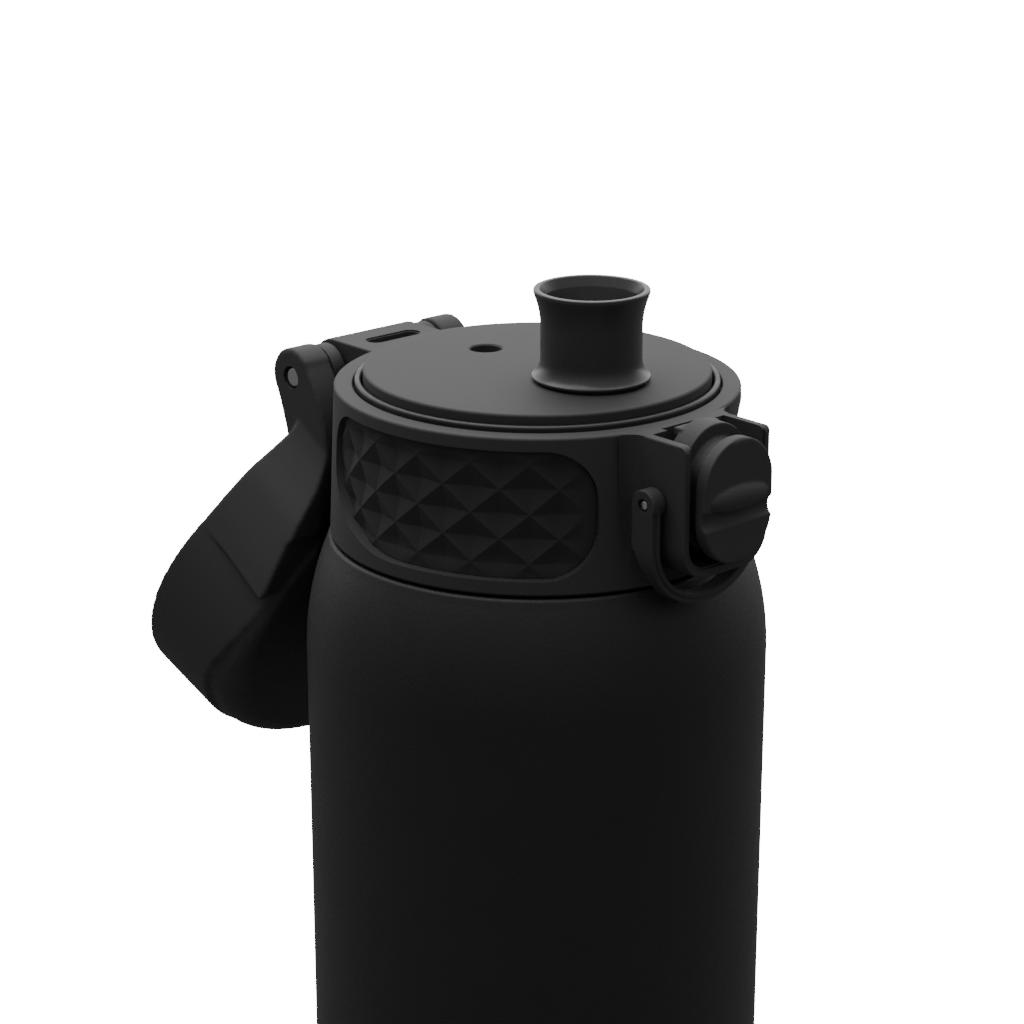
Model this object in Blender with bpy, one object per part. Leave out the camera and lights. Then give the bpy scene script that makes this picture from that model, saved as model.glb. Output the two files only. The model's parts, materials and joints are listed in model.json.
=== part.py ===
"""Vacuum insulated drinking bottle with a screw-on flip lid.

The model stands on z = 0 with the bottle's axis on z. The latch faces -Y and the hinge +Y.
Lid pieces are placed from the lid_axis empty, which stands on the collar's flat top.
The flip cover is drawn closed and is turned open about its hinge pin by the cover_axis empty.
"""

import math

import bmesh
import bpy
from mathutils import Matrix, Vector

mm = 0.001
GAP = 0.3 * mm  # clearance between neighbouring pieces
SEGMENTS = 48  # sides of the large turned pieces
FINE = 24  # sides of the small turned pieces

# Bottle
BODY_RADIUS = 36.5 * mm
COLLAR_TOP = 205.0 * mm
SHOULDER_START = 43.0 * mm  # below the collar's top, where the straight side ends
SHOULDER_ARC = 46.0 * mm
STEEL = 0.8 * mm
VACUUM = 2.7 * mm
FLASK_FLOOR = 6.0 * mm
BASE_THICKNESS = 1.2 * mm
GETTER_RADIUS = 8.0 * mm
GETTER_THICKNESS = 1.0 * mm
NECK_RADIUS = 22.0 * mm  # inside the mouth
NECK_WALL = 1.8 * mm
MOUTH_DEPTH = 8.7 * mm  # the mouth's rim lies this far below the collar's top
NECK_LENGTH = 15.5 * mm

# Screw thread between the neck and the lid
PITCH = 4.0 * mm
THREAD_TURNS = 1.25
THREAD_HEIGHT = 1.1 * mm
THREAD_ROOT = 1.4 * mm
THREAD_CREST = 0.8 * mm
THREAD_PLAY = 0.6 * mm

# Collar
COLLAR_RADIUS = 31.4 * mm
COLLAR_FLARE = 1.0 * mm  # the foot is this much wider than the top
COLLAR_HEIGHT = 23.9 * mm
COLLAR_WALL = 3.0 * mm
EDGE = 0.4 * mm
DECK_RADIUS = 26.9 * mm
DECK_RISE = 2.2 * mm
DECK_CROWN = 0.5 * mm
DECK_PLATE = 2.0 * mm
DECK_SKIRT = 1.6 * mm
LEDGE_DEPTH = 3.5 * mm
SEAL_WIDTH = 1.0 * mm
SEAL_DEPTH = 1.2 * mm
SEAL_RISE = 0.8 * mm

# Lid plug
FLANGE_THICKNESS = 2.0 * mm
PLUG_WALL = 2.0 * mm
PLUG_LENGTH = 15.7 * mm
GASKET_WIDTH = 3.2 * mm

# Spout and air vent
PORT_OFFSET = 12.0 * mm  # spout in front of the axis, vent behind it
SPOUT_RADIUS = 7.7 * mm
SPOUT_BORE = 6.2 * mm
SPOUT_HEIGHT = 16.7 * mm
LIP_RADIUS = 8.8 * mm
LIP_BORE = 7.9 * mm
SPOUT_SKIRT = 9.0 * mm
SPOUT_FOOT = 8.3 * mm  # hole through the deck
SPOUT_PORT = 5.9 * mm  # hole through the plug's floor
VENT_RADIUS = 2.5 * mm
VALVE_RADIUS = 3.0 * mm

# Grip panels
GRIP_TOP = 2.0 * mm
GRIP_HEIGHT = 19.6 * mm
GRIP_FRONT = math.radians(26)  # the front end, measured from the latch's side of -Y
GRIP_REAR = math.radians(117)  # the rear end
GRIP_DEPTH = 2.2 * mm
GRIP_INSET = 0.5 * mm
GRIP_CORNER = 8.0 * mm
DIAMOND_COLUMN = math.radians(8.15)  # half of a diamond's width
DIAMOND_ROW = 3.8 * mm  # half of a diamond's height
DIAMOND_DEPTH = 1.0 * mm
FIRST_RIDGE = math.radians(44.6)  # where a column of ridge crossings stands
DIAMOND_COLUMNS = 13
DIAMOND_ROWS = 6

# Hinge
PIN_Y = 40.1 * mm
PIN_Z = -4.9 * mm
PIN_RADIUS = 1.6 * mm
EAR_RADIUS = 4.8 * mm
EAR_OUTER = 17.2 * mm
EAR_THICKNESS = 5.2 * mm
BRIDGE_HALF = 8.6 * mm
BRIDGE_GROOVE = 0.6 * mm
KNUCKLE_RADIUS = 4.4 * mm
STRAP_SLOT_LENGTH = 10.0 * mm
STRAP_SLOT_WIDTH = 2.8 * mm
SPRING_RADIUS = 2.6 * mm
SPRING_WIRE = 0.4 * mm
SPRING_TURNS = 4

# Flip cover
SNUG_RADIUS = 36.5 * mm  # the bottle that the cover lies against at the angle below
SNUG_ANGLE = math.radians(237)  # the collar stops the cover here
COVER_APPROACH = 24.0 * mm  # how far the open cover nears the bottle over a radian
OPEN_ANGLE = SNUG_ANGLE - max(0.0, BODY_RADIUS - SNUG_RADIUS) / COVER_APPROACH
COVER_RADIUS = 32.6 * mm
COVER_TAPER = 3.0 * mm
COVER_TOP = 21.0 * mm
COVER_WALL = 1.8 * mm
COVER_LIFT = 0.3 * mm
LINER_WALL = 1.0 * mm
SCOOP_HALF = 19.0 * mm
TONGUE_HALF = 4.0 * mm
TONGUE_DROP = 2.2 * mm
BARB = 1.0 * mm

# Latch
LATCH_HALF = 8.8 * mm
LATCH_WALL = 1.4 * mm
LATCH_FRONT = 40.8 * mm
LATCH_DEPTH = 20.7 * mm
LATCH_FLOOR = 1.7 * mm
LATCH_CORNER = 5.2 * mm
EAR_CORNER = 1.2 * mm
BUTTON_HALF = 7.0 * mm
BUTTON_TOP = 0.3 * mm
BUTTON_HEIGHT = LATCH_DEPTH - 1.8 * mm
BUTTON_PLATE = 2.1 * mm
BUTTON_PIN_Y = 36.5 * mm
BUTTON_PIN_Z = LATCH_DEPTH - 8.7 * mm
BUTTON_PIN_RADIUS = 0.9 * mm
DRUM_HALF = 6.6 * mm
DRUM_TOP = 1.5 * mm
DRUM_BACK = 34.6 * mm
HOOK_REACH = 1.1 * mm
COIL_RADIUS = 1.4 * mm
COIL_WIRE = 0.25 * mm

# Lock loop
LOOP_PIN_Y = 35.1 * mm
LOOP_PIN_Z = BUTTON_PIN_Z - 2.7 * mm
LOOP_PIN_RADIUS = 0.7 * mm
LOOP_EYE = 2.3 * mm
LOOP_HALF = 10.0 * mm  # inside half width
LOOP_BAND = 1.6 * mm
LOOP_LEG = 6.8 * mm
LOOP_DROP = 3.9 * mm  # room between the latch's floor and the hanging loop
LOOP_BOW = LATCH_DEPTH + LOOP_DROP - LOOP_PIN_Z - LOOP_LEG  # height of the bend's inside
LOOP_REAR = 34.9 * mm  # how far back the loop's lower half may reach


def clear_scene():
    for item in list(bpy.data.objects):
        bpy.data.objects.remove(item, do_unlink=True)


def material(name, colour, roughness, metallic=0.0):
    made = bpy.data.materials.new(name)
    made.use_nodes = True
    shader = made.node_tree.nodes["Principled BSDF"]
    shader.inputs["Base Color"].default_value = (*colour, 1.0)
    shader.inputs["Roughness"].default_value = roughness
    shader.inputs["Metallic"].default_value = metallic
    return made


def closed(bm):
    """Weld, face outwards and return a closed bmesh."""
    bmesh.ops.remove_doubles(bm, verts=bm.verts, dist=0.002 * mm)
    bmesh.ops.recalc_face_normals(bm, faces=bm.faces)
    return bm


def turned(profile, sides=FINE, centre=(0.0, 0.0)):
    """Turn a closed outline of (radius, z) points about a vertical axis."""
    bm = bmesh.new()
    rings = []
    for radius, z in profile:
        if radius < 1e-9:
            rings.append([bm.verts.new((centre[0], centre[1], z))])
            continue
        ring = []
        for step in range(sides):
            angle = math.tau * step / sides
            x = centre[0] + radius * math.cos(angle)
            y = centre[1] + radius * math.sin(angle)
            ring.append(bm.verts.new((x, y, z)))
        rings.append(ring)
    for first, second in zip(rings, rings[1:] + rings[:1]):
        join_rings(bm, first, second)
    return closed(bm)


def join_rings(bm, first, second):
    """Faces between two rings, either of which may be a single point."""
    count = max(len(first), len(second))
    if count == 1:
        return
    for step in range(count):
        after = (step + 1) % count
        if len(first) == 1:
            bm.faces.new((first[0], second[step], second[after]))
        elif len(second) == 1:
            bm.faces.new((first[step], first[after], second[0]))
        else:
            bm.faces.new((first[step], first[after], second[after], second[step]))


def prism(outline, axis, start, end):
    """Push a closed outline from start to end along an axis.

    The outline's points are (y, z) along X, (x, z) along Y and (x, y) along Z.
    """
    bm = bmesh.new()
    ends = []
    for depth in (start, end):
        ring = []
        for a, b in outline:
            point = {"X": (depth, a, b), "Y": (a, depth, b), "Z": (a, b, depth)}[axis]
            ring.append(bm.verts.new(point))
        ends.append(ring)
    join_rings(bm, ends[0], ends[1])
    bm.faces.new(ends[0])
    bm.faces.new(ends[1])
    return closed(bm)


def arc(centre, radius, start, end, steps):
    """Points on an arc, with angles in degrees."""
    points = []
    for step in range(steps + 1):
        angle = math.radians(start + (end - start) * step / steps)
        points.append((centre[0] + radius * math.cos(angle), centre[1] + radius * math.sin(angle)))
    return points


def circle(centre, radius, sides=FINE):
    return arc(centre, radius, 0, 360 * (sides - 1) / sides, sides - 1)


def box(low, high):
    corners = [(low[0], low[1]), (high[0], low[1]), (high[0], high[1]), (low[0], high[1])]
    return prism(corners, "Z", low[2], high[2])


def combine(first, second, operation):
    """Boolean of two bmeshes, which are used up."""
    pair = []
    for bm in (first, second):
        mesh = bpy.data.meshes.new("working")
        bm.to_mesh(mesh)
        bm.free()
        item = bpy.data.objects.new("working", mesh)
        bpy.context.scene.collection.objects.link(item)
        pair.append(item)
    modifier = pair[0].modifiers.new("cut", "BOOLEAN")
    modifier.operation = operation
    modifier.solver = "EXACT"
    modifier.object = pair[1]
    bpy.context.view_layer.update()
    shape = pair[0].evaluated_get(bpy.context.evaluated_depsgraph_get())
    result = bmesh.new()
    result.from_mesh(shape.to_mesh())
    shape.to_mesh_clear()
    for item in pair:
        bpy.data.objects.remove(item, do_unlink=True)
    return closed(result)


def cut(body, *tools):
    for tool in tools:
        body = combine(body, tool, "DIFFERENCE")
    return body


def join(body, *pieces):
    for piece in pieces:
        body = combine(body, piece, "UNION")
    return body


def pivot(name, place, parent=None, turn=0.0):
    """An empty on a joint's axis, turned about X."""
    empty = bpy.data.objects.new(name, None)
    empty.location = place
    empty.rotation_euler = (turn, 0.0, 0.0)
    empty.parent = parent
    bpy.context.scene.collection.objects.link(empty)
    return empty


def piece(name, bm, finish, parent=None, origin=(0.0, 0.0, 0.0)):
    """Make the named object from a bmesh drawn in its parent's frame."""
    bmesh.ops.transform(bm, matrix=Matrix.Translation(-Vector(origin)), verts=bm.verts)
    mesh = bpy.data.meshes.new(name)
    bm.to_mesh(mesh)
    bm.free()
    mesh.shade_smooth()
    mesh.set_sharp_from_angle(angle=math.radians(35))
    mesh.materials.append(finish)
    item = bpy.data.objects.new(name, mesh)
    item.location = origin
    item.parent = parent
    bpy.context.scene.collection.objects.link(item)
    return item


def cover_piece(name, bm, finish, cover):
    """Make a piece that is drawn closed in the lid's frame, carried by the cover's axis."""
    bmesh.ops.transform(bm, matrix=Matrix.Translation((0.0, -PIN_Y, -PIN_Z)), verts=bm.verts)
    piece(name, bm, finish, cover)


def mirrored(bm):
    """The same shape on the other side of the YZ plane."""
    other = bm.copy()
    bmesh.ops.transform(other, matrix=Matrix.Diagonal((-1, 1, 1, 1)), verts=other.verts)
    return closed(other)


def thread(wall, crest, z_start, turns, steps_per_turn=28):
    """A right-handed ridge on a cylinder wall, sunk a little into it."""
    sunk = wall - math.copysign(GAP, crest - wall)
    bm = bmesh.new()
    steps = round(turns * steps_per_turn)
    sections = []
    for step in range(steps + 1):
        angle = math.tau * step / steps_per_turn
        z = z_start + PITCH * step / steps_per_turn
        corners = ((sunk, -THREAD_ROOT), (crest, -THREAD_CREST), (crest, THREAD_CREST), (sunk, THREAD_ROOT))
        section = []
        for radius, height in corners:
            point = (radius * math.cos(angle), radius * math.sin(angle), z + height / 2)
            section.append(bm.verts.new(point))
        sections.append(section)
    for first, second in zip(sections, sections[1:]):
        join_rings(bm, first, second)
    bm.faces.new(sections[0])
    bm.faces.new(sections[-1])
    return closed(bm)


def coil(centre, axis, radius, wire, start, length, turns, steps=12, sides=6):
    """An open helical spring along X or Y."""
    bm = bmesh.new()
    total = turns * steps
    rings = []
    for step in range(total + 1):
        angle = math.tau * step / steps
        along = start + length * step / total
        ring = []
        for side in range(sides):
            around = math.tau * side / sides
            reach = radius + wire * math.cos(around)
            depth = along + wire * math.sin(around)
            a = centre[0] + reach * math.cos(angle)
            b = centre[1] + reach * math.sin(angle)
            ring.append(bm.verts.new((depth, a, b) if axis == "X" else (a, depth, b)))
        rings.append(ring)
    for first, second in zip(rings, rings[1:]):
        join_rings(bm, first, second)
    bm.faces.new(rings[0])
    bm.faces.new(rings[-1])
    return closed(bm)


def smooth_through(points, value):
    """Height at value on a smooth curve through (place, height) points in rising order."""
    if value <= points[0][0]:
        return points[0][1]
    if value >= points[-1][0]:
        return points[-1][1]
    index = max(i for i in range(len(points) - 1) if points[i][0] <= value)
    (x0, y0), (x1, y1) = points[index], points[index + 1]
    before = points[max(index - 1, 0)]
    after = points[min(index + 2, len(points) - 1)]
    slope0 = (y1 - before[1]) / (x1 - before[0])
    slope1 = (after[1] - y0) / (after[0] - x0)
    t = (value - x0) / (x1 - x0)
    width = x1 - x0
    return (
        y0 * (1 + 2 * t) * (1 - t) ** 2
        + slope0 * width * t * (1 - t) ** 2
        + y1 * t * t * (3 - 2 * t)
        + slope1 * width * t * t * (t - 1)
    )


# ---------------------------------------------------------------- bottle


def shoulder(inset, steps=6):
    """The shoulder's arc from the straight side up to the collar, inset from the outside."""
    foot = COLLAR_TOP - SHOULDER_START
    rise = SHOULDER_START - COLLAR_HEIGHT - 2 * GAP - inset
    points = []
    for step in range(steps + 1):
        up = rise * step / steps
        inward = SHOULDER_ARC - math.sqrt(SHOULDER_ARC**2 - up * up)
        points.append((BODY_RADIUS - inset - inward, foot + up))
    return points


def outer_shell(steel):
    neck = NECK_RADIUS + NECK_WALL + GAP + STEEL
    neck_top = COLLAR_TOP - MOUTH_DEPTH - STEEL - GAP
    outside = [(BODY_RADIUS - 0.8 * mm, 0.0), (BODY_RADIUS, 1.4 * mm)] + shoulder(0.0)
    top_edge = outside[-1]
    ledge = top_edge[1] + 0.25 * mm
    outside += [(top_edge[0] - 1.2 * mm, ledge), (neck + 1.5 * mm, ledge), (neck, ledge + 1.5 * mm)]
    outside += [(neck, neck_top), (neck - STEEL, neck_top)]
    inside = [(neck - STEEL, ledge + 1.0 * mm), (neck + 1.0 * mm, ledge - STEEL)]
    inside += list(reversed(shoulder(STEEL)))
    inside += [(BODY_RADIUS - STEEL, 0.0)]
    piece("outer_shell", turned(outside + inside, SEGMENTS), steel)


def inner_flask(steel):
    """The flask with its rolled mouth and the thread ridge in its neck."""
    radius = BODY_RADIUS - STEEL - VACUUM
    mouth = COLLAR_TOP - MOUTH_DEPTH
    lip = NECK_RADIUS + NECK_WALL + GAP + STEEL
    neck_foot = mouth - NECK_LENGTH
    bend = [(0.0, 2.6), (0.28, 4.6), (0.72, 9.6), (0.94, 16.6), (1.0, 23.6)]

    def wall(inset):
        start = NECK_RADIUS + NECK_WALL - inset * NECK_WALL / STEEL
        end = radius - inset
        return [(start + (end - start) * share, neck_foot - drop * mm) for share, drop in bend]

    outside = [(lip, mouth), (lip, mouth - STEEL), (NECK_RADIUS + NECK_WALL, mouth - STEEL)]
    outside += wall(0.0)
    outside += [(radius, FLASK_FLOOR + 5 * mm), (radius - 5 * mm, FLASK_FLOOR), (0.0, FLASK_FLOOR)]
    inner = radius - STEEL
    floor = FLASK_FLOOR + STEEL
    inside = [(0.0, floor), (inner - 4.6 * mm, floor), (inner, floor + 4.6 * mm)]
    inside += list(reversed(wall(STEEL)))
    inside += [(NECK_RADIUS, mouth)]
    flask = turned(outside + inside, SEGMENTS)
    crest = NECK_RADIUS - THREAD_HEIGHT
    ridge = thread(NECK_RADIUS, crest, mouth - 9.3 * mm, THREAD_TURNS)
    piece("inner_flask", join(flask, ridge), steel)


def base(steel, getter):
    rim = BODY_RADIUS - STEEL - GAP
    wall = rim - STEEL
    outline = [(0.0, 0.0), (rim - 0.8 * mm, 0.0), (rim, 0.8 * mm), (rim, 4.5 * mm)]
    outline += [(wall, 4.5 * mm), (wall, BASE_THICKNESS), (0.0, BASE_THICKNESS)]
    piece("base_plate", turned(outline, SEGMENTS), steel)
    top = FLASK_FLOOR - GAP
    foot = top - GETTER_THICKNESS
    disc = [(0.0, foot), (GETTER_RADIUS, foot), (GETTER_RADIUS, top), (0.0, top)]
    piece("getter_disc", turned(disc), getter)


# ---------------------------------------------------------------- lid core


def collar_radius(z):
    """Outside radius of the collar at a height below its top."""
    return COLLAR_RADIUS - COLLAR_FLARE * z / COLLAR_HEIGHT


def collar_bore():
    return COLLAR_RADIUS - COLLAR_WALL


def seat_radius():
    """Bore of the collar's ledge, which the deck passes through."""
    return DECK_RADIUS + GAP


def plug_radius():
    return NECK_RADIUS - THREAD_HEIGHT - THREAD_PLAY


def flange_top():
    return -LEDGE_DEPTH - GAP


def flange_foot():
    return flange_top() - FLANGE_THICKNESS


def deck_top(radius):
    """The deck is a little higher in the middle."""
    return DECK_RISE + DECK_CROWN * (1 - (radius / DECK_RADIUS) ** 2)


def lid_deck(plastic, parent):
    outline = [(radius, deck_top(radius)) for radius in (0.0, 9 * mm, 18 * mm, 24 * mm)]
    outline += [(DECK_RADIUS - EDGE, DECK_RISE), (DECK_RADIUS, DECK_RISE - EDGE)]
    foot = -LEDGE_DEPTH
    inner = DECK_RADIUS - DECK_SKIRT
    outline += [(DECK_RADIUS, foot), (inner, foot), (inner, DECK_RISE - DECK_PLATE)]
    outline += [(0.0, DECK_RISE - DECK_PLATE)]
    deck = turned(outline, SEGMENTS)
    low = foot - GAP
    high = 3 * DECK_RISE
    spout_hole = turned([(0, low), (SPOUT_FOOT, low), (SPOUT_FOOT, high), (0, high)], 32, (0, -PORT_OFFSET))
    vent_hole = turned([(0, low), (VENT_RADIUS, low), (VENT_RADIUS, high), (0, high)], 16, (0, PORT_OFFSET))
    piece("lid_deck", cut(deck, spout_hole, vent_hole), plastic, parent)


def deck_gasket(rubber, parent):
    inner = DECK_RADIUS + GAP
    outer = inner + SEAL_WIDTH
    foot = GAP - SEAL_DEPTH - GAP
    outline = [(inner, foot), (outer, foot), (outer, SEAL_RISE - 0.4 * mm)]
    outline += [(outer - 0.35 * mm, SEAL_RISE), (inner + 0.3 * mm, SEAL_RISE), (inner, SEAL_RISE - 0.3 * mm)]
    piece("deck_gasket", turned(outline, SEGMENTS), rubber, parent)


def lid_plug(plastic, parent):
    """The threaded stopper: a floor with two ports and a sleeve that screws into the neck."""
    outer = plug_radius()
    top = flange_top()
    foot = flange_foot()
    end = foot - PLUG_LENGTH
    rim = collar_bore() - GAP
    outline = [(0.0, top), (rim, top), (rim, foot), (outer, foot), (outer, end)]
    outline += [(outer - PLUG_WALL, end), (outer - PLUG_WALL, foot), (0.0, foot)]
    body = turned(outline, SEGMENTS)
    ridge = thread(outer, outer + THREAD_HEIGHT, thread_start() - PITCH / 2, THREAD_TURNS)
    low = foot - GAP
    high = top + GAP
    spout_port = turned(
        [(0, low), (SPOUT_PORT, low), (SPOUT_PORT, high), (0, high)],
        FINE,
        (0, -PORT_OFFSET),
    )
    vent_port = turned(
        [(0, low), (VALVE_RADIUS + GAP, low), (VALVE_RADIUS + GAP, high), (0, high)],
        16,
        (0, PORT_OFFSET),
    )
    piece("lid_plug", cut(join(body, ridge), spout_port, vent_port), plastic, parent)


def thread_start():
    """Height of the neck's ridge where it begins, in the lid's frame."""
    return -MOUTH_DEPTH - 9.3 * mm


def neck_gasket(rubber, parent):
    inner = plug_radius() + GAP
    outer = inner + GASKET_WIDTH
    top = flange_foot() - GAP
    foot = -MOUTH_DEPTH + GAP
    soft = 0.4 * mm
    outline = [(inner, foot + soft), (inner + soft, foot), (outer - soft, foot), (outer, foot + soft)]
    outline += [(outer, top - soft), (outer - soft, top), (inner + soft, top), (inner, top - soft)]
    piece("neck_gasket", turned(outline, SEGMENTS), rubber, parent)


def spout(plastic, parent):
    """A tube with a flared lip, a skirt on the deck and a stem down to the plug's floor."""
    floor = flange_top() + GAP
    seat = deck_top(PORT_OFFSET - SPOUT_SKIRT) + GAP
    stem = SPOUT_FOOT - GAP
    outline = [(LIP_BORE, SPOUT_HEIGHT), (LIP_RADIUS - 0.25 * mm, SPOUT_HEIGHT)]
    outline += [(LIP_RADIUS, SPOUT_HEIGHT - 0.25 * mm)]
    for share, drop in ((1.0, 0.5), (0.72, 1.3), (0.41, 2.4), (0.1, 4.2), (0.0, 6.2)):
        outline.append((SPOUT_RADIUS + share * (LIP_RADIUS - SPOUT_RADIUS), SPOUT_HEIGHT - drop * mm))
    outline += [(SPOUT_RADIUS, seat + 2.4 * mm), (SPOUT_RADIUS + 0.35 * mm, seat + 1.0 * mm)]
    outline += [(SPOUT_SKIRT, seat + 0.3 * mm), (SPOUT_SKIRT, seat), (stem, seat), (stem, floor)]
    outline += [(SPOUT_BORE, floor), (SPOUT_BORE, SPOUT_HEIGHT - 6.0 * mm)]
    outline += [(SPOUT_BORE + 0.3 * mm, SPOUT_HEIGHT - 3.6 * mm), (SPOUT_BORE + 0.9 * mm, SPOUT_HEIGHT - 1.5 * mm)]
    piece("spout", turned(outline, 32, (0, -PORT_OFFSET)), plastic, parent)


def vent_valve(rubber, parent):
    """A soft plug under the vent hole, held by a flange below the lid's floor."""
    floor = flange_foot()
    flange = VALVE_RADIUS + 1.5 * mm
    outline = [(0.8 * mm, flange_top()), (VALVE_RADIUS, flange_top()), (VALVE_RADIUS, floor - GAP)]
    outline += [(flange, floor - GAP), (flange, floor - GAP - 1.1 * mm)]
    outline += [(VALVE_RADIUS, floor - GAP - 1.1 * mm), (1.5 * mm, floor - 4.5 * mm), (0.8 * mm, floor - 4.5 * mm)]
    piece("vent_valve", turned(outline, 16, (0, PORT_OFFSET)), rubber, parent)


# ---------------------------------------------------------------- grip panels


def grip_outline(inset=0.0):
    """(x, z) of the panel's outline laid flat, with a long slanted lower rear corner."""
    front = GRIP_FRONT * COLLAR_RADIUS + inset
    rear = GRIP_REAR * COLLAR_RADIUS - inset
    top = -GRIP_TOP - inset
    foot = -GRIP_TOP - GRIP_HEIGHT + inset
    height = top - foot
    slant = (0.95 * GRIP_HEIGHT, 0.6 * GRIP_HEIGHT)
    front_round = min(GRIP_CORNER - inset, 0.49 * height)
    rear_round = min(0.8 * GRIP_CORNER, 0.97 * height - slant[1])
    round_off = (front_round, front_round)
    tight = (rear_round, rear_round)
    corners = (
        (front, foot, 1, 1, round_off),
        (rear, foot, -1, 1, slant),
        (rear, top, -1, -1, tight),
        (front, top, 1, -1, round_off),
    )
    points = []
    for index, (x, z, side, up, (wide, high)) in enumerate(corners):
        centre = (x + side * wide, z + up * high)
        for a, b in arc((0.0, 0.0), 1.0, 180 + 90 * index, 270 + 90 * index, 5):
            points.append((centre[0] + wide * a, centre[1] + high * b))
    return points


def column_x(column):
    return (FIRST_RIDGE + DIAMOND_COLUMN * (column - 3)) * COLLAR_RADIUS


def bend(bm):
    """Wrap a flat panel (y is the height above the collar's top radius) round the +X side."""
    for column in range(DIAMOND_COLUMNS + 1):
        geometry = bm.verts[:] + bm.edges[:] + bm.faces[:]
        bmesh.ops.bisect_plane(bm, geom=geometry, plane_co=(column_x(column), 0, 0), plane_no=(1, 0, 0))
    for vertex in bm.verts:
        angle = vertex.co.x / COLLAR_RADIUS
        radius = COLLAR_RADIUS + vertex.co.y
        vertex.co = (radius * math.sin(angle), -radius * math.cos(angle), vertex.co.z)
    return closed(bm)


def diamond_slab():
    """A flat slab whose top is pressed into staggered diamonds, shallower along its edges."""
    rows = DIAMOND_ROWS
    low = -GRIP_TOP - GRIP_HEIGHT / 2 - rows / 2 * DIAMOND_ROW
    bm = bmesh.new()
    layers = []
    for layer in range(2):
        grid = []
        for column in range(DIAMOND_COLUMNS + 1):
            line = []
            for row in range(rows + 1):
                z = low + DIAMOND_ROW * row
                height = collar_radius(z) - COLLAR_RADIUS - GRIP_INSET
                dented = (column + row) % 2 == 1 and 2 <= column <= DIAMOND_COLUMNS - 2
                if dented and 0 < row < rows:
                    height -= DIAMOND_DEPTH * (0.5 if row in (1, rows - 1) else 1.0)
                line.append(bm.verts.new((column_x(column), height if layer else GAP - GRIP_DEPTH, z)))
            grid.append(line)
        layers.append(grid)
    for grid in layers:
        for column in range(DIAMOND_COLUMNS):
            for row in range(rows):
                a, b = grid[column][row], grid[column + 1][row]
                c, d = grid[column + 1][row + 1], grid[column][row + 1]
                if (column + row) % 2 == 0:
                    bm.faces.new((a, b, c))
                    bm.faces.new((a, c, d))
                else:
                    bm.faces.new((a, b, d))
                    bm.faces.new((b, c, d))
    join_borders(bm, layers, DIAMOND_COLUMNS, rows)
    return closed(bm)


def join_borders(bm, sheets, wide, long):
    """Side faces between the edges of two grids of vertices."""
    border = [(i, 0) for i in range(wide)] + [(wide, j) for j in range(long)]
    border += [(i, long) for i in range(wide, 0, -1)] + [(0, j) for j in range(long, 0, -1)]
    low, high = sheets
    for first, second in zip(border, border[1:] + border[:1]):
        corners = [low[first[0]][first[1]], low[second[0]][second[1]]]
        corners += [high[second[0]][second[1]], high[first[0]][first[1]]]
        bm.faces.new(corners)


def grip_pocket():
    """Cutter for the recess that holds the +X panel."""
    return bend(prism(grip_outline(), "Y", -GRIP_DEPTH, 4 * mm))


def grip_panels(rubber, parent):
    panel = combine(diamond_slab(), prism(grip_outline(GAP), "Y", -4 * mm, 4 * mm), "INTERSECT")
    panel = bend(panel)
    piece("grip_panel_left", mirrored(panel), rubber, parent)
    piece("grip_panel_right", panel, rubber, parent)


# ---------------------------------------------------------------- collar


def collar_ring():
    flat = seat_radius() + SEAL_WIDTH + GAP
    bore = collar_bore()
    foot = -COLLAR_HEIGHT
    wide = collar_radius(foot)
    outline = [(COLLAR_RADIUS - EDGE, 0.0), (collar_radius(-EDGE), -EDGE), (wide, foot + EDGE)]
    outline += [(wide - EDGE, foot), (bore, foot), (bore, -LEDGE_DEPTH), (seat_radius(), -LEDGE_DEPTH)]
    outline += [(seat_radius(), -SEAL_DEPTH - GAP), (flat, -SEAL_DEPTH - GAP), (flat, 0.0)]
    return turned(outline, SEGMENTS)


def latch_outline(half, top, foot, corner):
    """A U-shaped outline (x, z), open at the top."""
    points = [(-half, top)]
    points += arc((-half + corner, foot + corner), corner, 180, 270, 4)
    points += arc((half - corner, foot + corner), corner, 270, 360, 4)
    points.append((half, top))
    return points


def latch_housing():
    root = COLLAR_RADIUS - COLLAR_WALL / 2
    block = prism(latch_outline(LATCH_HALF, 0.0, -LATCH_DEPTH, LATCH_CORNER), "Y", -LATCH_FRONT, -root)
    side = [(-root, 0.0)] + arc((-LATCH_FRONT + EAR_CORNER, -EAR_CORNER), EAR_CORNER, 90, 180, 4)
    side += [(-LATCH_FRONT, -LATCH_DEPTH), (-root, -LATCH_DEPTH)]
    return combine(block, prism(side, "X", -2 * LATCH_HALF, 2 * LATCH_HALF), "INTERSECT")


def tongue_notch():
    """The cut behind the latch's channel that lets the cover's tongue down."""
    half = TONGUE_HALF + GAP + 0.1 * mm
    foot = -TONGUE_DROP - GAP - 0.1 * mm
    return box((-half, -COLLAR_RADIUS - 2.1 * mm, foot), (half, -COLLAR_RADIUS - 0.1 * mm, 1.0 * mm))


def latch_channel():
    """The room between the ears, where the release button rocks."""
    half = LATCH_HALF - LATCH_WALL
    foot = -LATCH_DEPTH + LATCH_FLOOR
    back = collar_radius(-COLLAR_HEIGHT) + GAP
    room = prism(latch_outline(half, 4 * mm, foot, LATCH_CORNER - LATCH_FLOOR), "Y", -LATCH_FRONT - 4 * mm, -back)
    return room


def ear_fillet():
    """Webs that ease the collar's wall into the latch's ears."""
    reach = COLLAR_RADIUS - COLLAR_WALL / 2
    spread = LATCH_HALF + 2.6 * mm
    touch = collar_radius(0.0) + 0.9 * mm
    outline = [(-LATCH_HALF, -touch), (-spread, -reach), (spread, -reach), (LATCH_HALF, -touch)]
    return prism(outline, "Z", -LATCH_DEPTH + 3 * mm, 0.0)


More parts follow.
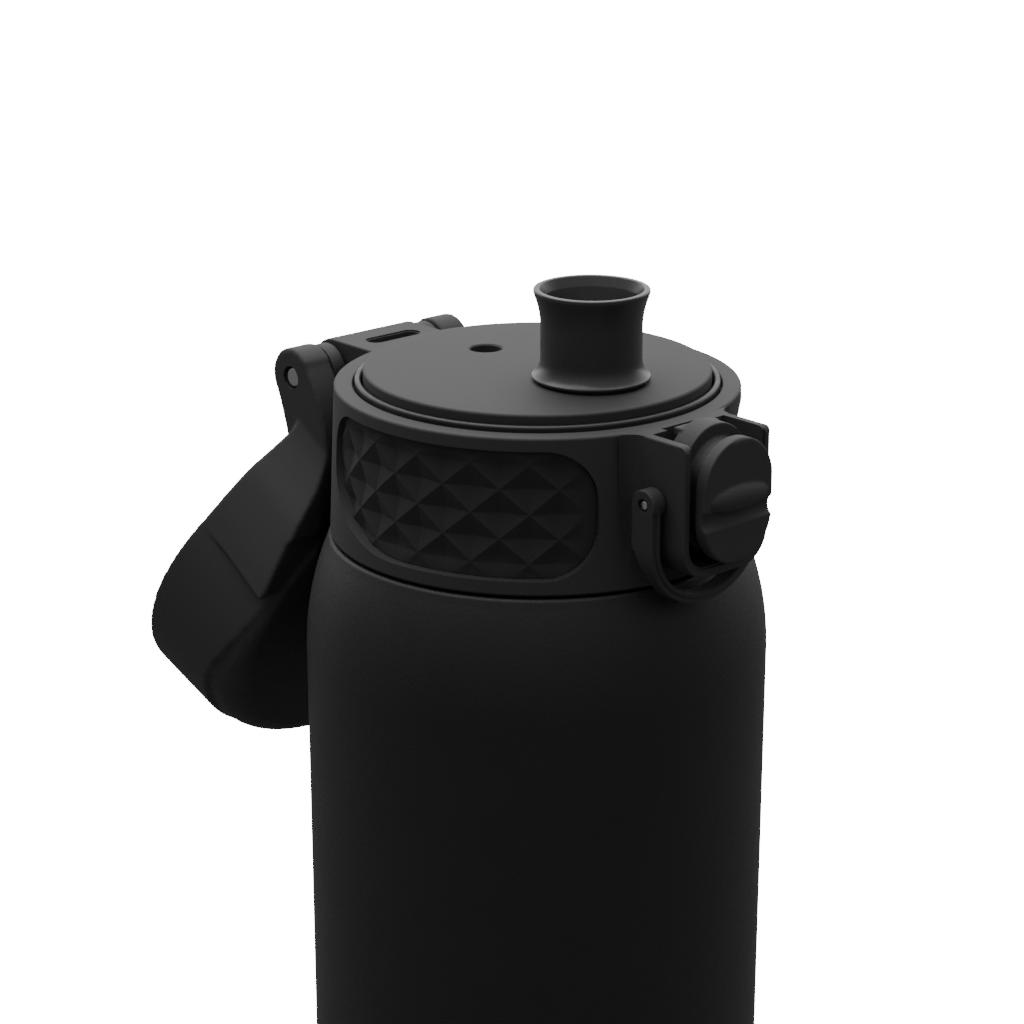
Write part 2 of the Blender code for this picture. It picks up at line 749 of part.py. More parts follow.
def bridge():
    """The block behind the collar that carries the hinge pin and the strap slot."""
    radius = -PIN_Z
    root = COLLAR_RADIUS - COLLAR_WALL / 2
    outline = [(root, 0.0)]
    outline += list(reversed(arc((PIN_Y, PIN_Z), radius, -90, 90, 10)))
    outline += [(root, PIN_Z - radius - 1.8 * mm)]
    return prism(outline, "X", -BRIDGE_HALF, BRIDGE_HALF)


def knuckle(side):
    inner = BRIDGE_HALF + BRIDGE_GROOVE
    outer = EAR_OUTER - EAR_THICKNESS - GAP
    start, end = sorted((side * inner, side * outer))
    return prism(circle((PIN_Y, PIN_Z), KNUCKLE_RADIUS), "X", start, end)


def strap_slot():
    centre = COLLAR_RADIUS + 3.5 * mm
    half = STRAP_SLOT_WIDTH / 2
    reach = STRAP_SLOT_LENGTH / 2 - half
    outline = arc((-reach, centre), half, 90, 270, 5) + arc((reach, centre), half, 270, 450, 5)
    return prism(outline, "Z", 4 * PIN_Z, -PIN_Z)


def lid_collar(plastic, parent):
    core = prism(circle((PIN_Y, PIN_Z), KNUCKLE_RADIUS - 1.1 * mm, 16), "X", -knuckle_end(), knuckle_end())
    body = join(collar_ring(), latch_housing(), ear_fillet(), bridge(), core, knuckle(-1), knuckle(1))
    inner = prism(circle((0.0, 0.0), collar_bore(), SEGMENTS), "Z", -2 * COLLAR_HEIGHT, -LEDGE_DEPTH)
    top = prism(circle((0.0, 0.0), seat_radius(), SEGMENTS), "Z", -2 * COLLAR_HEIGHT, COLLAR_HEIGHT)
    pin_hole = prism(circle((PIN_Y, PIN_Z), PIN_RADIUS + GAP, 16), "X", -EAR_OUTER, EAR_OUTER)
    room = SPRING_RADIUS + SPRING_WIRE + GAP
    half = spring_half() + GAP + SPRING_WIRE
    pocket = box((-half, PIN_Y - room, 4 * PIN_Z), (half, PIN_Y + room, PIN_Z + room))
    body = cut(body, inner, top, latch_channel(), tongue_notch(), pin_hole, pocket, strap_slot())
    body = cut(body, mirrored(grip_pocket()), grip_pocket())
    pin_reach = LATCH_HALF - 0.5 * mm
    button_hole = prism(
        circle((-BUTTON_PIN_Y, -BUTTON_PIN_Z), BUTTON_PIN_RADIUS + GAP, 12), "X", -pin_reach, pin_reach
    )
    loop_hole = prism(
        circle((-LOOP_PIN_Y, -LOOP_PIN_Z), LOOP_PIN_RADIUS + GAP, 12), "X", -2 * LATCH_HALF, 2 * LATCH_HALF
    )
    body = cut(body, button_hole, loop_hole)
    piece("lid_collar", body, plastic, parent)


def knuckle_end():
    return EAR_OUTER - EAR_THICKNESS - GAP


def spring_half():
    return BRIDGE_HALF * 0.4


def hinge_parts(steel, parent):
    reach = EAR_OUTER - 0.4 * mm
    bevel = 0.35 * mm
    shaft = prism(circle((PIN_Y, PIN_Z), PIN_RADIUS, 16), "X", -reach + bevel, reach - bevel)
    for side in (-1, 1):
        start, end = sorted((side * (reach - 2 * bevel), side * reach))
        shaft = join(shaft, prism(circle((PIN_Y, PIN_Z), PIN_RADIUS - bevel, 16), "X", start, end))
    piece("hinge_pin", shaft, steel, parent)
    half = spring_half()
    wound = coil((PIN_Y, PIN_Z), "X", SPRING_RADIUS, SPRING_WIRE, -half, 2 * half, SPRING_TURNS)
    piece("hinge_spring", wound, steel, parent)


# ---------------------------------------------------------------- flip cover


def crown(y):
    """Height of the cover's top along its middle line, drawn closed."""
    ramp = [(-20.0, 21.0), (0.0, 20.9), (9.0, 20.3), (16.0, 18.9), (22.0, 16.9), (28.0, 14.0)]
    ramp += [(34.0, 10.3), (38.5, 6.3), (42.0, 1.6), (44.8, -4.0)]
    scaled = [(place * mm, height * mm + COVER_TOP - 21.0 * mm) for place, height in ramp]
    return smooth_through(scaled, y)


def scoop(x, y):
    """Depth of the hollow that lets the open cover lie round the bottle's back."""
    depth = [(2.0, 0.0), (6.0, 1.3), (10.0, 3.4), (14.0, 5.4), (19.0, 6.3), (24.0, 6.2)]
    depth += [(28.0, 4.6), (32.0, 3.2), (36.0, 1.5), (40.0, 0.0)]
    middle = smooth_through([(place * mm, height * mm) for place, height in depth], y)
    share = max(0.0, 1 - (x / SCOOP_HALF) ** 2)
    return middle * share


def above_crown(drop):
    """Everything above the cover's top, lowered by drop."""
    side_steps = 16
    length_steps = 22
    half = COVER_RADIUS + 2 * mm
    start = -COVER_RADIUS - 2 * mm
    end = PIN_Y + 2 * EAR_RADIUS
    bm = bmesh.new()
    sheets = []
    for layer in range(2):
        sheet = []
        for i in range(side_steps + 1):
            x = -half + 2 * half * i / side_steps
            line = []
            for j in range(length_steps + 1):
                y = start + (end - start) * j / length_steps
                z = crown(y) - scoop(x, y) - drop if layer == 0 else 3 * COVER_TOP
                line.append(bm.verts.new((x, y, z)))
            sheet.append(line)
        sheets.append(sheet)
        for i in range(side_steps):
            for j in range(length_steps):
                corners = (sheet[i][j], sheet[i + 1][j], sheet[i + 1][j + 1], sheet[i][j + 1])
                bm.faces.new(corners)
    join_borders(bm, sheets, side_steps, length_steps)
    bmesh.ops.triangulate(bm, faces=bm.faces)
    return closed(bm)


def cup(radius, foot, top):
    """A tapered plug of the cover's round part."""
    slope = COVER_TAPER / COVER_TOP
    low = radius - slope * foot
    high = radius - slope * top
    return turned([(0.0, foot), (low, foot), (high, top), (0.0, top)], SEGMENTS)


def arm(side):
    """One hinge arm, from the cover's side wall back to the ear round the pin."""
    start, end = sorted((side * (EAR_OUTER - EAR_THICKNESS), side * EAR_OUTER))
    lower = [(20.0, 1.0), (29.8, 0.3), (31.4, -1.3), (34.6, -5.2)]
    outline = [(y * mm, z * mm) for y, z in lower]
    outline += arc((PIN_Y, PIN_Z), EAR_RADIUS, 205, 380, 12)
    outline += [(36.5 * mm, 12.0 * mm), (20.0 * mm, 24.0 * mm)]
    return prism(outline, "X", start, end)


def web():
    """The +X corner piece that carries the round wall back into the hinge arm."""
    plan = [(12.2, 20.0), (29.0, 14.5), (27.6, 18.8), (25.6, 23.2), (23.6, 26.8), (21.0, 30.0)]
    plan += [(18.6, 33.2), (17.1, 35.9), (12.2, 35.9)]
    outline = [(x * mm, y * mm) for x, y in plan]
    return prism(outline, "Z", COVER_LIFT + 0.1 * mm, COVER_TOP + 1.5 * mm)


def cover_shell(plastic, cover):
    wall = COVER_WALL
    outside = cup(COVER_RADIUS, COVER_LIFT, COVER_TOP + 2 * mm)
    outside = join(outside, arm(-1), arm(1), mirrored(web()), web())
    outside = cut(outside, above_crown(0.0))
    inside = cut(cup(COVER_RADIUS - wall, -wall, COVER_TOP + 2 * mm), above_crown(wall))
    front = COVER_RADIUS - wall / 2
    tongue = box((-TONGUE_HALF, -front - 1.2 * mm, -TONGUE_DROP), (TONGUE_HALF, -front + 0.2 * mm, 4 * mm))
    barb_y = -front - 1.2 * mm - BARB
    barb = box((-TONGUE_HALF, barb_y, -TONGUE_DROP), (TONGUE_HALF, -front, -TONGUE_DROP + 1.3 * mm))
    pin_hole = prism(circle((PIN_Y, PIN_Z), PIN_RADIUS + GAP, 20), "X", -2 * EAR_OUTER, 2 * EAR_OUTER)
    keep_out = ledge_sweep()
    shell = cut(join(cut(outside, inside), tongue, barb), pin_hole, keep_out)
    cover_piece("cover_shell", shell, plastic, cover)


def ledge_sweep():
    """The collar's top corner, which the tongue passes in front of."""
    reach = collar_radius(-TONGUE_DROP) + GAP
    return prism(circle((0.0, 0.0), reach, SEGMENTS), "Z", -2 * TONGUE_DROP, 0.0)


def cover_liner(plastic, cover):
    """The inner cup, with the ring that holds the spout seal."""
    outer = COVER_RADIUS - COVER_WALL - GAP
    drop = COVER_WALL + GAP
    body = cut(cup(outer, COVER_LIFT + 1.5 * mm, COVER_TOP + 2 * mm), above_crown(drop))
    body = cut(body, cut(cup(outer - LINER_WALL, -LINER_WALL, COVER_TOP + 2 * mm), above_crown(drop + LINER_WALL)))
    inner = seal_radius() + GAP
    top = COVER_TOP - drop - LINER_WALL / 2
    foot = SPOUT_HEIGHT + GAP
    ring = [(inner, top), (inner + 1.2 * mm, top), (inner + 1.2 * mm, foot), (inner, foot)]
    body = join(body, turned(ring, FINE, (0.0, -PORT_OFFSET)))
    cover_piece("cover_liner", body, plastic, cover)


def seal_radius():
    return LIP_RADIUS + 0.6 * mm


def cover_seals(rubber, cover):
    liner = COVER_WALL + LINER_WALL + 2 * GAP
    ceiling = crown(-PORT_OFFSET) - liner
    seal_foot = SPOUT_HEIGHT + GAP
    pad = seal_radius()
    plug = SPOUT_BORE - 1.2 * mm
    outline = [(0.0, ceiling), (pad, ceiling), (pad, seal_foot), (plug, seal_foot)]
    outline += [(plug - 0.5 * mm, seal_foot - 1.1 * mm), (0.0, seal_foot - 1.1 * mm)]
    cover_piece("spout_seal", turned(outline, FINE, (0.0, -PORT_OFFSET)), rubber, cover)
    stem = VENT_RADIUS - 0.7 * mm
    lowest = PORT_OFFSET + stem + 1.0 * mm
    roof = crown(lowest) - scoop(0.0, lowest) - liner
    tip = deck_top(PORT_OFFSET) + GAP
    post = [(0.0, roof), (stem + 1.0 * mm, roof), (stem + 0.6 * mm, roof - 1.5 * mm), (stem, tip + 1.5 * mm)]
    post += [(VENT_RADIUS + 1.2 * mm, tip + 1.2 * mm), (VENT_RADIUS + 1.2 * mm, tip), (0.0, tip)]
    cover_piece("vent_seal", turned(post, 16, (0.0, PORT_OFFSET)), rubber, cover)


# ---------------------------------------------------------------- latch


def oval(half, top, height):
    """An upright stadium (x, z)."""
    return arc((0.0, top - half), half, 0, 180, 10) + arc((0.0, top - height + half), half, 180, 360, 10)


def release_button(plastic, parent):
    """The rocking button: face plate with its thumb ledge, drum, hook and spring pocket."""
    back = -LATCH_FRONT - GAP
    face = back - BUTTON_PLATE
    ledge = face - 1.1 * mm
    low = BUTTON_TOP - BUTTON_HEIGHT
    profile = [(back, BUTTON_TOP), (face + 0.5 * mm, BUTTON_TOP), (face, BUTTON_TOP - 1.0 * mm)]
    profile += [(face, -4.5 * mm), (face - 0.4 * mm, -7.2 * mm), (ledge, -8.8 * mm), (ledge, -9.2 * mm)]
    profile += [(face + 0.5 * mm, -9.9 * mm), (face + 0.5 * mm, -11.6 * mm), (face, -12.6 * mm)]
    profile += [(face, low + 0.8 * mm), (face + 0.5 * mm, low), (back, low)]
    plate = combine(
        prism(profile, "X", -2 * BUTTON_HALF, 2 * BUTTON_HALF),
        prism(oval(BUTTON_HALF, BUTTON_TOP, BUTTON_HEIGHT), "Y", 2 * face, 0.0),
        "INTERSECT",
    )
    front = -LATCH_FRONT + 2.4 * mm
    drum_foot = -LATCH_DEPTH + LATCH_FLOOR + 1.2 * mm
    drum_outline = oval(DRUM_HALF, DRUM_TOP, DRUM_TOP - drum_foot)
    drum = prism(drum_outline, "Y", front, -DRUM_BACK)
    neck = prism(oval(DRUM_HALF - 0.9 * mm, DRUM_TOP - 2.2 * mm, DRUM_TOP - drum_foot - 2.6 * mm), "Y", back - 1 * mm, front + 1 * mm)
    hook_half = TONGUE_HALF
    hook = box((-hook_half, -DRUM_BACK - 0.5 * mm, hook_foot()), (hook_half, -DRUM_BACK + HOOK_REACH, DRUM_TOP - 0.8 * mm))
    button = join(drum, neck, plate, hook)
    bore = prism(circle((-BUTTON_PIN_Y, -BUTTON_PIN_Z), BUTTON_PIN_RADIUS + GAP, 12), "X", -2 * BUTTON_HALF, 2 * BUTTON_HALF)
    pocket = prism(circle((0.0, coil_z()), COIL_RADIUS + COIL_WIRE + GAP, 12), "Y", -LATCH_FRONT + 2.9 * mm, 0.0)
    button = cut(button, bore, pocket)
    piece("release_button", button, plastic, parent, (0.0, -BUTTON_PIN_Y, -BUTTON_PIN_Z))


def hook_foot():
    """Underside of the hook, just above the closed cover's barb."""
    return -TONGUE_DROP + 1.3 * mm + GAP


def coil_z():
    return -BUTTON_PIN_Z - BUTTON_PIN_RADIUS - COIL_RADIUS - 2.1 * mm


def button_parts(steel, parent):
    reach = LATCH_HALF - 0.5 * mm - GAP
    pin = prism(circle((-BUTTON_PIN_Y, -BUTTON_PIN_Z), BUTTON_PIN_RADIUS, 12), "X", -reach, reach)
    piece("button_pin", pin, steel, parent)
    start = -LATCH_FRONT + 2.9 * mm + GAP + COIL_WIRE
    end = -collar_radius(-COLLAR_HEIGHT) - 2 * GAP - COIL_WIRE
    spring = coil((0.0, coil_z()), "Y", COIL_RADIUS, COIL_WIRE, start, end - start, 5)
    piece("button_spring", spring, steel, parent)


def bow(centre_z, wide, high, start, end):
    """Points (x, z) on the loop's elliptical bend, with angles in degrees."""
    return [(wide * a, centre_z + high * b) for a, b in arc((0.0, 0.0), 1.0, start, end, 14)]


def lock_loop(plastic, parent):
    """The U-shaped loop that swings up over the closed cover's front."""
    outer = LOOP_HALF + LOOP_BAND
    bend = -LOOP_PIN_Z - LOOP_LEG
    outline = [(-outer, -LOOP_PIN_Z)] + bow(bend, outer, LOOP_BOW + LOOP_BAND, 180, 360)
    outline += [(outer, -LOOP_PIN_Z), (LOOP_HALF, -LOOP_PIN_Z)]
    outline += bow(bend, LOOP_HALF, LOOP_BOW, 360, 180) + [(-LOOP_HALF, -LOOP_PIN_Z)]
    band = prism(outline, "Y", -LOOP_PIN_Y - LOOP_EYE, -LOOP_PIN_Y + LOOP_EYE)
    low = bend - outer - 1 * mm
    relief = [(-LOOP_REAR, low), (-LOOP_REAR, bend - 4 * mm), (-LOOP_PIN_Y + LOOP_EYE, bend + 1 * mm)]
    relief += [(0.0, bend + 1 * mm), (0.0, low)]
    band = cut(band, prism(relief, "X", -2 * outer, 2 * outer))
    for side in (-1, 1):
        start, end = sorted((side * (LATCH_HALF + GAP), side * outer))
        band = join(band, prism(circle((-LOOP_PIN_Y, -LOOP_PIN_Z), LOOP_EYE, 20), "X", start, end))
    hole = prism(circle((-LOOP_PIN_Y, -LOOP_PIN_Z), LOOP_PIN_RADIUS + GAP, 12), "X", -2 * outer, 2 * outer)
    piece("lock_loop", cut(band, hole), plastic, parent, (0.0, -LOOP_PIN_Y, -LOOP_PIN_Z))


def loop_pins(steel, parent):
    inner = LATCH_HALF - LATCH_WALL + 0.5 * mm
    outer = LOOP_HALF + LOOP_BAND - 0.2 * mm
    for name, side in (("loop_pin_left", -1), ("loop_pin_right", 1)):
        start, end = sorted((side * inner, side * outer))
        pin = prism(circle((-LOOP_PIN_Y, -LOOP_PIN_Z), LOOP_PIN_RADIUS, 12), "X", start, end)
        piece(name, pin, steel, parent)


def main():
    clear_scene()
    coated = material("coated_steel", (0.012, 0.012, 0.013), 0.5)
    bare = material("bare_steel", (0.62, 0.62, 0.63), 0.3, 1.0)
    getter = material("getter_metal", (0.35, 0.35, 0.36), 0.6, 1.0)
    plastic = material("lid_plastic", (0.03, 0.03, 0.032), 0.45)
    rubber = material("seal_rubber", (0.02, 0.02, 0.02), 0.75)
    grip = material("grip_rubber", (0.018, 0.018, 0.019), 0.6)
    outer_shell(coated)
    inner_flask(bare)
    base(bare, getter)
    lid = pivot("lid_axis", (0.0, 0.0, COLLAR_TOP))
    neck_gasket(rubber, lid)
    lid_collar(plastic, lid)
    lid_deck(plastic, lid)
    deck_gasket(rubber, lid)
    lid_plug(plastic, lid)
    spout(plastic, lid)
    vent_valve(rubber, lid)
    grip_panels(grip, lid)
    hinge_parts(bare, lid)
    button_parts(bare, lid)
    loop_pins(bare, lid)
    release_button(plastic, lid)
    lock_loop(plastic, lid)
    cover = pivot("cover_axis", (0.0, PIN_Y, PIN_Z), lid, -OPEN_ANGLE)
    cover_shell(plastic, cover)
    cover_liner(plastic, cover)
    cover_seals(rubber, cover)


main()
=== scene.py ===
"""Looks of an insulated flip-lid drinking bottle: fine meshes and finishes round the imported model."""

import json
import math

import bmesh
import bpy
from mathutils import Matrix, Vector


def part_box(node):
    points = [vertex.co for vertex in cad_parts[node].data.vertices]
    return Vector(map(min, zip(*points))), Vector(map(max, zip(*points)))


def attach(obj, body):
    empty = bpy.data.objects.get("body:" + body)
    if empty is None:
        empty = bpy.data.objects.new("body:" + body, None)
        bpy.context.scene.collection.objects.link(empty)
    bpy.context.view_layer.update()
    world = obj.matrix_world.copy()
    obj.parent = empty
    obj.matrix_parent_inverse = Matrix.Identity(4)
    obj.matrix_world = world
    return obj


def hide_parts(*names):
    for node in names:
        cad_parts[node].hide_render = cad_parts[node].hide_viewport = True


bl_info = {
    "name": "Insulated flip-lid bottle",
    "version": (1, 0, 0),
    "blender": (4, 5, 0),
    "location": "View3D > Sidebar > Bottle",
    "description": "Builds the visible pieces and finishes of an insulated flip-lid bottle",
    "category": "Object",
}

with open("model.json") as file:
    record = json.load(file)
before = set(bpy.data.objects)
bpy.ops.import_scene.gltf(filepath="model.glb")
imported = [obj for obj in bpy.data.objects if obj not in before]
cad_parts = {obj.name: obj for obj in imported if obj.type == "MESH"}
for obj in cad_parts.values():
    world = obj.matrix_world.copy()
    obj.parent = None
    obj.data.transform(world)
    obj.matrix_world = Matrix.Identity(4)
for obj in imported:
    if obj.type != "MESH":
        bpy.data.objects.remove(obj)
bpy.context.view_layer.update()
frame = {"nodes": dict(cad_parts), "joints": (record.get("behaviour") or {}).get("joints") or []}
JOINTS = {joint["name"]: joint for joint in frame["joints"]}

mm = 0.001
GAP = 0.3 * mm
LID_Z = JOINTS["lid_turn"]["pos_m"][2]  # height of the collar's flat top
PIN = Vector(JOINTS["cover_flip"]["pos_m"]) - Vector((0.0, 0.0, LID_Z))
OPEN_ANGLE = math.radians(JOINTS["cover_flip"]["range_deg"][1])
BUTTON_AXIS = Vector(JOINTS["button_press"]["pos_m"]) - Vector((0.0, 0.0, LID_Z))
LOOP_AXIS = Vector(JOINTS["loop_swing"]["pos_m"]) - Vector((0.0, 0.0, LID_Z))


# ---------------------------------------------------------------- settings


class BottleSizes(bpy.types.PropertyGroup):
    """Driving sizes of the visible pieces."""

    body_radius: bpy.props.FloatProperty(
        name="Body radius",
        description="Outside radius of the steel body",
        default=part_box("outer_shell")[1][0],
        unit="LENGTH",
    )
    collar_radius: bpy.props.FloatProperty(
        name="Collar radius",
        description="Outside radius of the lid collar at its top",
        default=31.4 * mm,
        unit="LENGTH",
    )
    deck_radius: bpy.props.FloatProperty(
        name="Deck radius",
        description="Radius of the round deck inside the collar",
        default=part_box("lid_deck")[1][0],
        unit="LENGTH",
    )
    cover_radius: bpy.props.FloatProperty(
        name="Cover radius",
        description="Radius of the flip cover at its rim",
        default=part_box("cover_shell")[1][0],
        unit="LENGTH",
    )
    softness: bpy.props.FloatProperty(
        name="Edge softness",
        description="Rounding of the moulded edges",
        default=0.3 * mm,
        unit="LENGTH",
    )
    sides: bpy.props.IntProperty(
        name="Sides",
        description="Sides of the large turned pieces",
        default=192,
        min=48,
        max=256,
    )


class BottleFinish(bpy.types.PropertyGroup):
    """Colours of the finishes."""

    coat: bpy.props.FloatVectorProperty(
        name="Powder coat",
        description="Colour of the coated steel body",
        subtype="COLOR",
        size=3,
        default=(0.0105, 0.0105, 0.0115),
    )
    plastic: bpy.props.FloatVectorProperty(
        name="Lid plastic",
        description="Colour of the moulded lid pieces",
        subtype="COLOR",
        size=3,
        default=(0.034, 0.034, 0.0355),
    )
    grip: bpy.props.FloatVectorProperty(
        name="Grip rubber",
        description="Colour of the soft side panels",
        subtype="COLOR",
        size=3,
        default=(0.0125, 0.0125, 0.0135),
    )
    seal: bpy.props.FloatVectorProperty(
        name="Seal silicone",
        description="Colour of the silicone seals",
        subtype="COLOR",
        size=3,
        default=(0.016, 0.016, 0.017),
    )
    steel: bpy.props.FloatVectorProperty(
        name="Bare steel",
        description="Colour of the uncoated steel",
        subtype="COLOR",
        size=3,
        default=(0.62, 0.62, 0.64),
    )


def sizes():
    return bpy.context.scene.bottle_sizes


def colours():
    return bpy.context.scene.bottle_finish


# ---------------------------------------------------------------- finishes


def grain_group():
    """Shader group: fine moulded or sprayed grain, with broad uneven patches."""
    name = "surface_grain"
    if name in bpy.data.node_groups:
        return bpy.data.node_groups[name]
    group = bpy.data.node_groups.new(name, "ShaderNodeTree")
    face = group.interface
    face.new_socket("Grain Scale", in_out="INPUT", socket_type="NodeSocketFloat")
    face.new_socket("Patch Scale", in_out="INPUT", socket_type="NodeSocketFloat")
    face.new_socket("Stretch", in_out="INPUT", socket_type="NodeSocketVector")
    face.new_socket("Height", in_out="OUTPUT", socket_type="NodeSocketFloat")
    face.new_socket("Patches", in_out="OUTPUT", socket_type="NodeSocketFloat")
    nodes, links = group.nodes, group.links
    given = nodes.new("NodeGroupInput")
    out = nodes.new("NodeGroupOutput")
    place = nodes.new("ShaderNodeTexCoord")
    stretch = nodes.new("ShaderNodeMapping")
    links.new(place.outputs["Object"], stretch.inputs["Vector"])
    links.new(given.outputs["Stretch"], stretch.inputs["Scale"])
    fine = nodes.new("ShaderNodeTexNoise")
    fine.inputs["Detail"].default_value = 3.0
    fine.inputs["Roughness"].default_value = 0.6
    links.new(stretch.outputs["Vector"], fine.inputs["Vector"])
    links.new(given.outputs["Grain Scale"], fine.inputs["Scale"])
    pits = nodes.new("ShaderNodeTexVoronoi")
    pits.feature = "SMOOTH_F1"
    links.new(stretch.outputs["Vector"], pits.inputs["Vector"])
    links.new(given.outputs["Grain Scale"], pits.inputs["Scale"])
    blend = nodes.new("ShaderNodeMath")
    blend.operation = "MULTIPLY_ADD"
    blend.inputs[1].default_value = 0.45
    links.new(pits.outputs["Distance"], blend.inputs[0])
    links.new(fine.outputs["Fac"], blend.inputs[2])
    links.new(blend.outputs[0], out.inputs["Height"])
    broad = nodes.new("ShaderNodeTexNoise")
    broad.inputs["Detail"].default_value = 4.0
    broad.inputs["Roughness"].default_value = 0.65
    broad.inputs["Distortion"].default_value = 0.4
    links.new(place.outputs["Object"], broad.inputs["Vector"])
    links.new(given.outputs["Patch Scale"], broad.inputs["Scale"])
    spread = nodes.new("ShaderNodeMapRange")
    spread.inputs["From Min"].default_value = 0.3
    spread.inputs["From Max"].default_value = 0.7
    links.new(broad.outputs["Fac"], spread.inputs["Value"])
    links.new(spread.outputs["Result"], out.inputs["Patches"])
    return group


def finish(
    name, colour, roughness, grain, patches=90.0, metallic=0.0, relief=0.03, uneven=0.12, stretch=(1, 1, 1)
):
    """A material whose colour and roughness drift with the patches, over a fine grain.

    roughness is its (lowest, highest) value, grain the number of grains to a metre, and relief
    their depth in millimetres.
    """
    if name in bpy.data.materials:
        return bpy.data.materials[name]
    made = bpy.data.materials.new(name)
    made.use_nodes = True
    nodes, links = made.node_tree.nodes, made.node_tree.links
    shader = nodes["Principled BSDF"]
    shader.inputs["Metallic"].default_value = metallic
    texture = nodes.new("ShaderNodeGroup")
    texture.node_tree = grain_group()
    texture.inputs["Grain Scale"].default_value = grain
    texture.inputs["Patch Scale"].default_value = patches
    texture.inputs["Stretch"].default_value = stretch
    tint = nodes.new("ShaderNodeMix")
    tint.data_type = "RGBA"
    tint.inputs["A"].default_value = (*[channel * (1 - uneven) for channel in colour], 1.0)
    tint.inputs["B"].default_value = (*[channel * (1 + uneven) for channel in colour], 1.0)
    links.new(texture.outputs["Patches"], tint.inputs["Factor"])
    links.new(tint.outputs["Result"], shader.inputs["Base Color"])
    polish = nodes.new("ShaderNodeMapRange")
    polish.inputs["To Min"].default_value = roughness[0]
    polish.inputs["To Max"].default_value = roughness[1]
    links.new(texture.outputs["Patches"], polish.inputs["Value"])
    links.new(polish.outputs["Result"], shader.inputs["Roughness"])
    bump = nodes.new("ShaderNodeBump")
    bump.inputs["Strength"].default_value = 0.7
    bump.inputs["Distance"].default_value = relief * mm
    links.new(texture.outputs["Height"], bump.inputs["Height"])
    links.new(bump.outputs["Normal"], shader.inputs["Normal"])
    return made


def powder_coat():
    return finish("powder_coat", colours().coat, (0.5, 0.62), 2600, 45, relief=0.05)


def lid_plastic():
    return finish("lid_plastic", colours().plastic, (0.42, 0.52), 5200, 70, relief=0.02)


def smooth_plastic():
    return finish("smooth_plastic", colours().plastic, (0.26, 0.36), 6000, 80, relief=0.008)


def grip_rubber():
    return finish("grip_rubber", colours().grip, (0.58, 0.72), 4200, 120, relief=0.02)


def seal_silicone():
    return finish("seal_silicone", colours().seal, (0.4, 0.55), 3600, 150, relief=0.01)


def satin_steel():
    return finish("satin_steel", colours().steel, (0.24, 0.36), 900, 60, 1.0, 0.01, 0.05, (1, 1, 18))


def turned_steel():
    return finish("turned_steel", colours().steel, (0.16, 0.28), 1500, 300, 1.0, 0.01, 0.05, (12, 1, 1))


def spring_steel():
    return finish("spring_steel", colours().steel, (0.2, 0.32), 4000, 200, 1.0, 0.004, 0.08)


def sintered_metal():
    return finish("sintered_metal", (0.35, 0.35, 0.36), (0.5, 0.7), 3000, 200, 1.0, 0.03)


# ---------------------------------------------------------------- mesh tools


def closed(bm):
    """Weld, and face outwards."""
    bmesh.ops.remove_doubles(bm, verts=bm.verts, dist=0.001 * mm)
    bmesh.ops.recalc_face_normals(bm, faces=bm.faces)
    return bm


def join_rings(bm, first, second):
    """Faces between two rings, either of which may be a single point."""
    count = max(len(first), len(second))
    if count == 1:
        return
    for step in range(count):
        after = (step + 1) % count
        if len(first) == 1:
            bm.faces.new((first[0], second[step], second[after]))
        elif len(second) == 1:
            bm.faces.new((first[step], first[after], second[0]))
        else:
            bm.faces.new((first[step], first[after], second[after], second[step]))


def rounded(outline, steps=4):
    """An outline whose corners (a, b, radius) are rounded; a plain (a, b) stays sharp."""
    points = []
    count = len(outline)
    for index, corner in enumerate(outline):
        here = Vector(corner[:2])
        reach = corner[2] if len(corner) > 2 else 0.0
        before = Vector(outline[index - 1][:2]) - here
        after = Vector(outline[(index + 1) % count][:2]) - here
        if reach <= 0 or before.length < 1e-9 or after.length < 1e-9:
            points.append(tuple(here))
            continue
        half = before.angle(after) / 2
        if half > math.radians(88):
            points.append(tuple(here))
            continue
        along = min(reach / math.tan(half), 0.48 * before.length, 0.48 * after.length)
        start = here + before.normalized() * along
        end = here + after.normalized() * along
        for step in range(steps + 1):
            t = step / steps
            weight = math.sin(half)
            bottom = (1 - t) ** 2 + 2 * weight * t * (1 - t) + t * t
            spot = (start * (1 - t) ** 2 + here * (2 * weight * t * (1 - t)) + end * t * t) / bottom
            points.append(tuple(spot))
    return points


def turned(outline, sides=None, centre=(0.0, 0.0)):
    """Turn a closed outline of (radius, z) points about a vertical axis."""
    sides = sides or sizes().sides
    bm = bmesh.new()
    rings = []
    for radius, z in outline:
        if radius < 1e-7:
            rings.append([bm.verts.new((centre[0], centre[1], z))])
            continue
        ring = []
        for step in range(sides):
            angle = math.tau * step / sides
            place = (centre[0] + radius * math.cos(angle), centre[1] + radius * math.sin(angle), z)
            ring.append(bm.verts.new(place))
        rings.append(ring)
    for first, second in zip(rings, rings[1:] + rings[:1]):
        join_rings(bm, first, second)
    return closed(bm)


def prism(outline, axis, start, end, chamfer=0.0):
    """Push an outline along an axis; its points are (y, z) along X, (x, z) along Y, (x, y) along Z."""
    if chamfer:
        return softened(prism(outline, axis, start, end), chamfer, 45)
    bm = bmesh.new()
    ends = []
    for depth in (start, end):
        ring = []
        for a, b in outline:
            place = {"X": (depth, a, b), "Y": (a, depth, b), "Z": (a, b, depth)}[axis]
            ring.append(bm.verts.new(place))
        ends.append(ring)
    join_rings(bm, ends[0], ends[1])
    bm.faces.new(ends[0])
    bm.faces.new(ends[1])
    return closed(bm)


